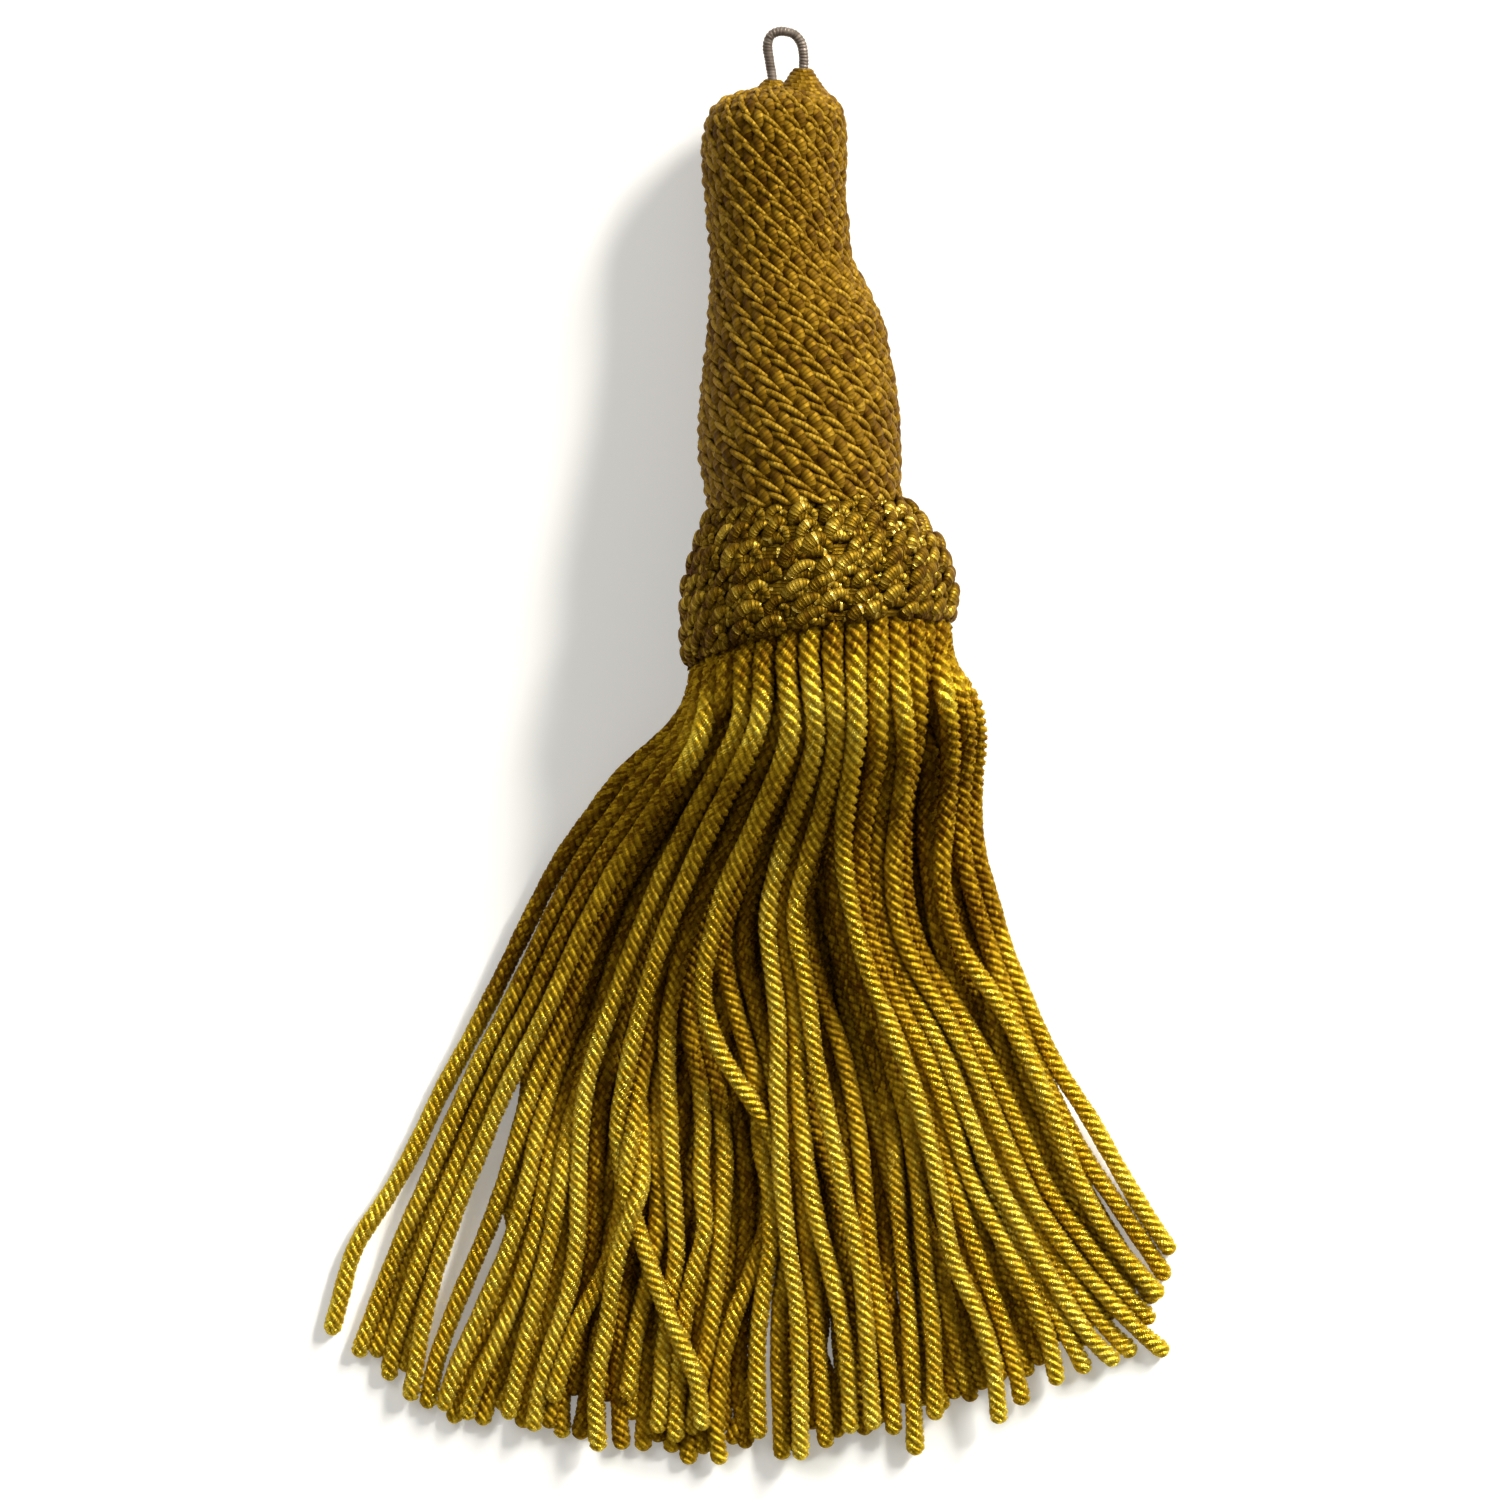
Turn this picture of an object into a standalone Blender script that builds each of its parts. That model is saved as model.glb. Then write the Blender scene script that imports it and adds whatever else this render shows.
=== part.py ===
"""Gold twisted-cord tassel, lying on a table with its fringe fanned out.

Metres, +Z up, the table at Z = 0. Seen from above, +Y runs up the neck towards the hanging loop, and the fringe spreads towards -Y.
A maker's pieces, each one solid: the thread-covered wire loop, the hitched neck, the hitched collar that covers the
fringe's heading, and the fringe itself, one comb of cords whose locks part towards their ends.
The neck's tip, the collar and the fringe are pressed flat where they lie on the table.
"""

import math

import bmesh
import bpy
from mathutils import Vector

MM = 0.001
GAP = 0.3  # mm between pieces that meet

# ---- driving dimensions, in mm -------------------------------------------------------------------------------------
# The tables below give a tassel 120.3 long from loop to longest cord end, and 71.7 across its fan
MIDDLE = (0.18, 0.18)  # the middle of its length and width in the tables' own x and y; it becomes the origin
WIRE_D = 0.87  # hanging loop's covered wire
NECK_SIDES = 32
REST_SLOPE = 0.123  # the neck's centre falls this much per mm towards its tip, which touches the table
TIP_Z = 5.7  # height of the neck's centre where its tip rests
TIP_Y = 50.0

# Neck, from its tip down. y: along the table, x: centre, w: half width, h: half height, tilt: the section's turn in plan, degrees
NECK_COLUMNS = ("y", "x", "w", "h", "tilt")
NECK = [
    (55.5, 3.2, 1.0, 1.0, 0.0),
    (55.1, 3.0, 3.1, 2.9, 0.0),
    (54.7, 2.8, 4.2, 4.0, 0.0),
    (54.1, 2.5, 5.1, 4.9, 0.0),
    (53.3, 2.4, 5.6, 5.5, 0.0),
    (52.4, 2.3, 5.9, 5.85, 0.0),
    (50.0, 2.2, 6.1, 6.0, 0.0),
    (48.0, 2.2, 6.05, 6.0, 0.0),
    (45.8, 2.3, 5.95, 5.9, 0.0),
    (41.6, 2.7, 5.95, 5.9, 0.5),
    (39.5, 3.1, 6.3, 6.2, 1.0),
    (37.4, 3.6, 6.9, 6.8, 1.5),
    (35.3, 3.95, 7.4, 7.3, 2.0),
    (33.2, 4.05, 7.7, 7.6, 2.0),
    (29.1, 4.2, 8.25, 8.1, 2.5),
    (25.0, 4.3, 8.4, 8.2, 2.5),
    (22.4, 4.5, 8.2, 8.0, 3.0),
    (20.9, 4.75, 8.1, 7.9, 3.0),
]

# Collar, from the neck down to its rim. z: height of the section's centre
COLLAR_COLUMNS = ("y", "x", "w", "h", "z", "tilt")
COLLAR = [
    (20.6, 4.75, 8.2, 8.0, 9.3, 3.0),
    (20.0, 4.85, 8.7, 8.3, 9.3, 3.3),
    (18.7, 5.1, 9.6, 8.9, 9.4, 4.0),
    (16.6, 5.4, 10.7, 9.5, 9.5, 5.0),
    (14.5, 5.55, 11.35, 9.8, 9.55, 6.0),
    (12.4, 5.7, 11.6, 9.9, 9.6, 7.0),
    (10.4, 5.8, 11.7, 9.9, 9.6, 8.0),
    (9.1, 5.9, 11.5, 9.8, 9.5, 9.0),
    (8.3, 5.95, 11.1, 9.4, 9.4, 9.0),
]

# Hanging loop's centreline in plan, from inside the neck up one leg, round the crown and down the other
LOOP_COLUMNS = ("x", "y")
LOOP = [
    (2.15, 52.3),
    (2.0, 54.5),
    (1.95, 56.0),
    (1.7, 57.6),
    (1.55, 58.8),
    (1.8, 59.6),
    (2.4, 59.95),
    (3.1, 59.95),
    (3.8, 59.7),
    (4.35, 59.0),
    (4.55, 58.0),
    (4.55, 57.0),
    (4.45, 56.0),
    (4.35, 54.5),
    (4.2, 52.3),
]
LOOP_Z = 5.9
CROWN_HALF = 0.35  # half the length of the straight stretch at the loop's crown

# Fringe: guide lines of the cords' flow in plan, left edge to right edge, each from the collar's rim to the cords' ends
ROOT = {"x": 5.95, "y": 8.0, "w": 11.2, "h": 9.35, "z": 9.4, "tilt": 9.0}
GUIDE_T = (0.0, 0.12, 0.26, 0.40, 0.54, 0.68, 0.82, 1.0)
GUIDES = {
    "left_edge": [(-5.3, 6.3), (-9.8, 0.0), (-16.3, -8.4), (-20.5, -16.7), (-24.7, -25.0), (-28.8, -33.4), (-33.4, -41.7), (-35.6, -49.5)],
    "left_outer": [(-4.0, 6.5), (-7.0, 0.0), (-12.7, -8.4), (-17.4, -16.7), (-21.2, -25.0), (-25.0, -33.4), (-28.0, -41.7), (-29.0, -54.0)],
    "left_mid": [(-0.9, 6.9), (-2.2, 0.0), (-6.4, -8.4), (-10.5, -16.7), (-14.7, -25.0), (-18.0, -33.4), (-19.7, -41.7), (-20.5, -56.2)],
    "left_inner": [(2.6, 7.5), (1.6, 0.0), (-1.7, -8.4), (-5.4, -16.7), (-8.2, -25.0), (-10.7, -33.4), (-12.5, -41.7), (-12.0, -58.5)],
    "middle": [(5.95, 8.0), (5.2, 0.0), (3.0, -8.4), (0.9, -16.7), (-0.3, -25.0), (-1.7, -33.4), (-2.0, -41.7), (-2.2, -60.0)],
    "right_inner": [(9.4, 8.5), (8.6, 0.0), (6.0, -8.4), (6.0, -16.7), (7.4, -25.0), (8.4, -33.4), (9.4, -41.7), (10.2, -57.3)],
    "right_mid": [(12.6, 9.0), (12.2, 0.0), (10.4, -8.4), (11.3, -16.7), (13.8, -25.0), (15.8, -33.4), (17.5, -41.7), (19.4, -54.2)],
    "right_outer": [(15.5, 9.5), (16.2, 0.3), (15.3, -7.6), (17.3, -16.0), (20.4, -24.4), (23.2, -32.6), (26.1, -40.4), (28.6, -50.0)],
    "right_edge": [(17.1, 9.8), (20.1, 0.9), (19.6, -6.0), (21.8, -15.0), (25.8, -23.8), (29.7, -31.3), (33.0, -37.2), (36.1, -42.8)],
}

# Fringe: its locks from left to right. tip_x, tip_y: the end of the lock, width: across its end, split: how far down
# the fringe it parts from the lock on its right, bow: how far it bows to the right halfway down its lower half,
# crown: its height against its neighbours
LOCK_COLUMNS = ("tip_x", "tip_y", "width", "split", "bow", "crown")
LOCKS = [
    (-35.3, -49.3, 1.35, 0.56, 0.2, 1.00),  # single cords that have come away
    (-33.1, -51.0, 1.35, 0.62, 0.6, 1.00),
    (-28.7, -53.6, 4.2, 0.58, -0.5, 1.05),  # three cords side by side
    (-25.9, -56.0, 1.4, 0.66, 1.2, 1.00),
    (-23.7, -56.2, 2.2, 0.80, 0.9, 0.95),
    (-20.4, -56.3, 1.8, 0.88, 0.0, 1.05),
    (-18.1, -57.3, 2.0, 0.90, 0.0, 0.92),
    (-15.6, -55.3, 2.3, 0.88, 0.0, 1.04),
    (-12.6, -58.9, 2.2, 0.88, 0.0, 1.10),
    (-9.7, -55.6, 2.5, 0.90, 0.0, 0.90),
    (-6.9, -57.6, 2.4, 0.92, 0.0, 1.06),
    (-4.4, -57.8, 1.9, 0.90, 0.0, 0.94),
    (-2.3, -60.1, 1.6, 0.90, 0.0, 1.08),
    (0.1, -58.8, 2.2, 0.92, 0.0, 0.86),
    (3.1, -59.9, 2.8, 0.90, 0.0, 1.08),
    (6.5, -58.4, 2.4, 0.92, 0.0, 0.92),
    (9.9, -57.4, 3.2, 0.92, 0.0, 1.05),
    (13.4, -59.3, 1.8, 0.86, 0.0, 0.92),
    (15.7, -56.2, 1.8, 0.88, 0.0, 1.04),
    (18.3, -53.3, 2.5, 0.90, 0.0, 0.94),
    (20.9, -56.5, 1.6, 0.88, 0.0, 1.08),
    (23.2, -54.9, 2.1, 0.90, 0.0, 0.92),
    (26.1, -53.2, 2.4, 0.90, 0.0, 1.06),
    (30.0, -51.6, 2.6, 0.88, -0.4, 0.92),
    (33.9, -49.9, 1.8, 0.84, -0.6, 1.05),
    (34.9, -46.0, 1.8, 0.60, -0.6, 0.96),
    (35.7, -43.3, 1.3, 1.00, 0.5, 1.00),  # the single cord on the right
]
CORD_D = 1.6
LOCK_GAP = 0.3  # least space between locks that have parted
STATIONS = 22
TROUGH = (0.7, 1.5)  # depth of the troughs between locks, at the rim and further down
TIP_ROUND = 0.45  # the last stretch of a lock, over which its end rounds off

# Fringe: greatest thickness along its length, from the collar's rim to the ends
THICKNESS = [(0.0, 18.7), (0.08, 17.2), (0.18, 13.6), (0.30, 10.4), (0.45, 8.0), (0.60, 6.4), (0.75, 5.2), (0.90, 4.4), (1.0, 3.9)]

COLOURS = {  # base colour, roughness, metallic
    "hanging_loop": ((0.42, 0.37, 0.32), 0.55, 0.6),
    "neck": ((0.36, 0.235, 0.035), 0.55, 0.25),
    "collar": ((0.42, 0.28, 0.04), 0.4, 0.5),
    "fringe": ((0.52, 0.36, 0.05), 0.35, 0.6),
}


def rows(table, columns):
    return [dict(zip(columns, row)) for row in table]


def smooth(a):
    a = min(1.0, max(0.0, a))
    return a * a * (3 - 2 * a)


def mix(a, b, s):
    return a + (b - a) * s


def spline(points, at):
    """Value at a position along knots (position, value), on a curve with no overshoot of note."""
    if at <= points[0][0]:
        return points[0][1]
    for i in range(len(points) - 1):
        (p0, v0), (p1, v1) = points[i], points[i + 1]
        if at <= p1:
            before = points[i - 1] if i else points[i]
            after = points[i + 2] if i + 2 < len(points) else points[i + 1]
            m0 = (v1 - before[1]) / (p1 - before[0])
            m1 = (after[1] - v0) / (after[0] - p0)
            s, span = (at - p0) / (p1 - p0), p1 - p0
            return (
                v0 * (2 * s**3 - 3 * s**2 + 1)
                + m0 * span * (s**3 - 2 * s**2 + s)
                + v1 * (3 * s**2 - 2 * s**3)
                + m1 * span * (s**3 - s**2)
            )
    return points[-1][1]


def clear_scene():
    for obj in list(bpy.data.objects):
        bpy.data.objects.remove(obj, do_unlink=True)


def material(name):
    colour, roughness, metallic = COLOURS[name]
    made = bpy.data.materials.new(name)
    made.use_nodes = True
    shader = made.node_tree.nodes["Principled BSDF"]
    shader.inputs["Base Color"].default_value = (*colour, 1.0)
    shader.inputs["Roughness"].default_value = roughness
    shader.inputs["Metallic"].default_value = metallic
    return made


def add_object(name, bm, parent, finish=True):
    bmesh.ops.translate(bm, vec=(-MIDDLE[0], -MIDDLE[1], 0), verts=bm.verts)
    bmesh.ops.scale(bm, vec=(MM, MM, MM), verts=bm.verts)
    bmesh.ops.recalc_face_normals(bm, faces=bm.faces)
    mesh = bpy.data.meshes.new(name)
    bm.to_mesh(mesh)
    bm.free()
    obj = bpy.data.objects.new(name, mesh)
    bpy.context.scene.collection.objects.link(obj)
    obj.parent = parent
    if finish:
        mesh.materials.append(material(name))
        mesh.shade_smooth()
        mesh.set_sharp_from_angle(angle=math.radians(50))
    return obj


def ring(bm, row, z, sides):
    """One oval section of the neck or collar, turned in plan by its tilt and pressed flat at the table."""
    turn = math.tan(math.radians(row["tilt"]))
    made = []
    for i in range(sides):
        a = 2 * math.pi * (i + 0.5) / sides
        across = row["w"] * math.cos(a)
        made.append(bm.verts.new((row["x"] + across, row["y"] + across * turn, max(0.0, z + row["h"] * math.sin(a)))))
    return made


def loft(bm, sections):
    sides = len(sections[0])
    for first, second in zip(sections, sections[1:]):
        for i in range(sides):
            j = (i + 1) % sides
            bm.faces.new((first[i], first[j], second[j], second[i]))
    bm.faces.new(sections[0])
    bm.faces.new(list(reversed(sections[-1])))


def neck_z(y):
    """Height of the neck's centre, level at its tip and rising from there to the collar."""
    return TIP_Z + max(0.0, TIP_Y - y) * REST_SLOPE


def make_neck(parent):
    bm = bmesh.new()
    loft(bm, [ring(bm, row, neck_z(row["y"]), NECK_SIDES) for row in rows(NECK, NECK_COLUMNS)])
    return add_object("neck", bm, parent)


def make_collar(parent):
    bm = bmesh.new()
    loft(bm, [ring(bm, row, row["z"], NECK_SIDES) for row in rows(COLLAR, COLLAR_COLUMNS)])
    return add_object("collar", bm, parent)


# ---- the hanging loop ----------------------------------------------------------------------------------------------
def loop_line():
    """Smooth points of the loop's centreline, close together, with a short straight stretch at the crown."""
    knots = [Vector((r["x"], r["y"], LOOP_Z)) for r in rows(LOOP, LOOP_COLUMNS)]
    walked = [0.0]
    for a, b in zip(knots, knots[1:]):
        walked.append(walked[-1] + (b - a).length)
    crown = walked[6] + (walked[7] - walked[6]) / 2
    steps = 34
    at = [walked[-1] * i / steps for i in range(steps + 1)]
    at = [s for s in at if abs(s - crown) > CROWN_HALF + 0.2] + [crown - CROWN_HALF, crown + CROWN_HALF]
    axis = [[(w, k[i]) for w, k in zip(walked, knots)] for i in range(3)]
    return [Vector((spline(axis[0], s), spline(axis[1], s), LOOP_Z)) for s in sorted(at)]


def tube(bm, points, radius, sides):
    """A round tube along points that lie in one level plane, closed at both ends. Its facets face level and upright."""
    up = Vector((0, 0, 1))
    sections = []
    for i, p in enumerate(points):
        along = (points[min(i + 1, len(points) - 1)] - points[max(i - 1, 0)]).normalized()
        side = along.cross(up)
        sections.append(
            [
                bm.verts.new(p + side * (radius * math.cos(a)) + up * (radius * math.sin(a)))
                for a in (2 * math.pi * (k + 0.5) / sides for k in range(sides))
            ]
        )
    loft(bm, sections)


def make_loop(parent):
    bm = bmesh.new()
    tube(bm, loop_line(), WIRE_D / 2, 8)
    return add_object("hanging_loop", bm, parent)


def cut_sockets(neck, parent):
    """Two holes in the neck's tip, a little wider and deeper than the loop's legs that stand in them."""
    line = loop_line()
    for name, end in (("socket_left", line[:9]), ("socket_right", line[-9:][::-1])):
        bm = bmesh.new()
        down = (end[0] - end[1]).normalized()
        tube(bm, [end[0] + down * GAP, *end[1:]], WIRE_D / 2 + GAP, 12)
        cutter = add_object(name, bm, parent, finish=False)
        cutter.hide_render = True
        cutter.display_type = "WIRE"
        cut = neck.modifiers.new(name, "BOOLEAN")
        cut.operation = "DIFFERENCE"
        cut.solver = "EXACT"
        cut.object = cutter


# ---- the fringe ----------------------------------------------------------------------------------------------------
def flow(u, t):
    """Point in plan on the cords' flow: u runs 0 to 1 across the fringe, t runs 0 to 1 down it."""
    across = [i / (len(GUIDES) - 1) for i in range(len(GUIDES))]
    lines = list(GUIDES.values())
    point = []
    for axis in (0, 1):
        column = [(v, spline([(s, p[axis]) for s, p in zip(GUIDE_T, line)], t)) for v, line in zip(across, lines)]
        point.append(spline(column, u))
    return Vector((point[0], point[1]))


def root_point(u):
    """Point in plan on the rim's plane."""
    across = ROOT["w"] * (2 * u - 1)
    return Vector((ROOT["x"] + across, ROOT["y"] + across * math.tan(math.radians(ROOT["tilt"]))))


def bundle(u):
    """How thick the round bundle is at the rim, as a share of its middle."""
    return max(0.09, math.sqrt(max(0.0, 1 - (2 * u - 1) ** 2)))


def top_z(u, t):
    spread = max(0.0, 1 - abs(2 * u - 1) ** 3.0) ** 0.7
    lying = CORD_D + (spline(THICKNESS, t) - CORD_D) * spread
    hung = ROOT["z"] + ROOT["h"] * bundle(u)
    return mix(hung, lying, smooth(t / 0.24))


def bottom_z(u, t):
    return max(0.0, mix(ROOT["z"] - ROOT["h"] * bundle(u), -0.6, smooth(t / 0.2)))


def lock_shares():
    """Where each lock starts and ends across the fringe, from its width."""
    widths = [r["width"] for r in rows(LOCKS, LOCK_COLUMNS)]
    edges = [0.0]
    for w in widths:
        edges.append(edges[-1] + w / sum(widths))
    return edges


def make_fringe(parent):
    locks = rows(LOCKS, LOCK_COLUMNS)
    edges = lock_shares()
    ts = [i / STATIONS for i in range(STATIONS + 1)]

    def plan(u, t):
        start = mix(root_point(u), flow(u, t), smooth(t / 0.1)) if t < 0.1 else flow(u, t)
        return start

    def centre(k, t):
        u = (edges[k] + edges[k + 1]) / 2
        reach = Vector((locks[k]["tip_x"], locks[k]["tip_y"])) - flow(u, 1.0)
        bowed = Vector((0.8, 0.4)) * locks[k]["bow"] * math.sin(math.pi * max(0.0, 2 * t - 1)) ** 2
        return plan(u, t) + reach * smooth((t - 0.5) / 0.5) + bowed

    def shared(k, t):
        """The trough between lock k-1 and lock k, before they part."""
        u = edges[k]
        if k in (0, len(locks)):
            near = k if k == 0 else k - 1
            middle = (edges[near] + edges[near + 1]) / 2
            return centre(near, t) + (plan(u, t) - plan(middle, t))
        return (centre(k - 1, t) + (plan(u, t) - plan((edges[k - 1] + u) / 2, t)) + centre(k, t) + (plan(u, t) - plan((edges[k + 1] + u) / 2, t))) / 2

    def own_edge(k, t, side):
        """Edge of a lock that stands apart: half its own width out from its centre, or less where its neighbour is close."""
        step = 0.02
        along = (centre(k, min(1.0, t + step)) - centre(k, t - step)).normalized()
        across = Vector((-along.y, along.x))  # to the right as the cords run down the page
        half = locks[k]["width"] / 2
        if 0 <= k + side < len(locks):
            room = (centre(k + side, t) - centre(k, t)).length
            half = min(half, room * half / (half + locks[k + side]["width"] / 2) - LOCK_GAP / 2)
        return centre(k, t) + across * (side * half)

    def edge(k, i, side):
        """Plan position of lock k's left (side -1) or right (+1) edge at station i, its end rounded off."""
        t = ts[i]
        at = k if side < 0 else k + 1
        parts = 0.0 if at in (0, len(locks)) else locks[at - 1]["split"]
        line = shared(at, t)
        if t > parts and not (at in (0, len(locks)) and t < 0.5):
            begun = 0.5 if at in (0, len(locks)) else parts
            line = mix(line, own_edge(k, t, side), smooth((t - begun) / 0.16))
        if i == STATIONS:
            line = mix(line, centre(k, t), TIP_ROUND)
        return line

    split_at = [0] + [max(1, min(STATIONS - 1, round(locks[k]["split"] * STATIONS))) for k in range(len(locks) - 1)] + [0]
    bm = bmesh.new()
    kept = {}

    def trough_z(u, t):
        high, low = top_z(u, t), bottom_z(u, t)
        return high - min(0.4 * (high - low), mix(*TROUGH, smooth(t / 0.3)))

    def pair(k, i, side):
        """Top and bottom corner of lock k's edge at station i. Neighbours share them until the locks part."""
        at = k if side < 0 else k + 1
        key = (at, i) if i <= split_at[at] and at not in (0, len(locks)) else (at, i, side)
        if key not in kept:
            t, u = ts[i], edges[at]
            p = edge(k, i, side) if len(key) == 3 else shared(at, t)
            low, high = bottom_z(u, t), trough_z(u, t)
            if at in (0, len(locks)):
                high = max(high, low + 0.8)
            if i == STATIONS:
                low, high = mix(low, high, 0.15), mix(high, low, 0.3)
            kept[key] = (bm.verts.new((p.x, p.y, high)), bm.verts.new((p.x, p.y, low)))
        return kept[key]

    for k, lock in enumerate(locks):
        sections = []
        u = (edges[k] + edges[k + 1]) / 2
        for i, t in enumerate(ts):
            (lt, lb), (rt, rb) = pair(k, i, -1), pair(k, i, 1)
            crown = mix(1.0, lock["crown"], smooth(t / 0.25))
            low = bottom_z(u, t)
            high = low + (top_z(u, t) - low) * crown
            if i == STATIONS:
                high = mix(high, low, 0.3)
            arch = []
            for s, lift in ((0.22, 0.72), (0.5, 1.0), (0.78, 0.72)):
                base = lt.co.lerp(rt.co, s)
                arch.append(bm.verts.new((base.x, base.y, mix(base.z, max(high, base.z + 0.05), lift))))
            sections.append([lt, *arch, rt, rb, lb])
        for first, second in zip(sections, sections[1:]):
            for a in range(4):
                bm.faces.new((first[a], first[a + 1], second[a + 1], second[a]))
            bm.faces.new((first[5], first[6], second[6], second[5]))
        bm.faces.new(sections[0])
        bm.faces.new(list(reversed(sections[-1])))
        for at, top, low, side in ((k, 0, 6, -1), (k + 1, 4, 5, 1)):
            for i in range(split_at[at], STATIONS):
                a, b = sections[i], sections[i + 1]
                bm.faces.new((a[top], a[low], b[low], b[top]))
    return add_object("fringe", bm, parent)


def main():
    clear_scene()
    tassel = bpy.data.objects.new("tassel", None)
    bpy.context.scene.collection.objects.link(tassel)
    neck = make_neck(tassel)
    make_collar(tassel)
    make_loop(tassel)
    cut_sockets(neck, tassel)
    make_fringe(tassel)


main()
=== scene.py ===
"""Looks of the gold tassel: every cord of the fringe as its own four-ply twisted cord, laid by a small relaxation,
the hitched neck and collar stitch by stitch, and the thread-covered wire loop.

Lengths inside this file are in mm and become metres when a mesh is made. Plan tables give x and y as read over the
1500 x 1500 photograph, 12 to the mm; plan() turns them into the row frame.
"""
import math

import bpy
import numpy as np
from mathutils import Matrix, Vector


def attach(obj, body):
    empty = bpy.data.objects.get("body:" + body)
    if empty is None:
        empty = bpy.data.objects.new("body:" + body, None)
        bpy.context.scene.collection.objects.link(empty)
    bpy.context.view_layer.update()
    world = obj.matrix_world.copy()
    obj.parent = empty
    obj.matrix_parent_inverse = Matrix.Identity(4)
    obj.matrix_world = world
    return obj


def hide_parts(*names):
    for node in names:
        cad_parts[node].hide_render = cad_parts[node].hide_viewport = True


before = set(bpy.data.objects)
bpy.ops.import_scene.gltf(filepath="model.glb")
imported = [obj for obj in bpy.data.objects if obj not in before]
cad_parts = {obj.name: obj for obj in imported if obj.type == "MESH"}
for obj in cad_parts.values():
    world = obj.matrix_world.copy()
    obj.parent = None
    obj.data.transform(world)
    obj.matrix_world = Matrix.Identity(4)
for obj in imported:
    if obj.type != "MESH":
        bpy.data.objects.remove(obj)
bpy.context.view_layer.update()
rng = np.random.default_rng(20)
MM = 0.001


def plan(px, py):
    return (px - 749.0) / 12.0 - 0.18, (749.5 - py) / 12.0 - 0.18


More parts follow.
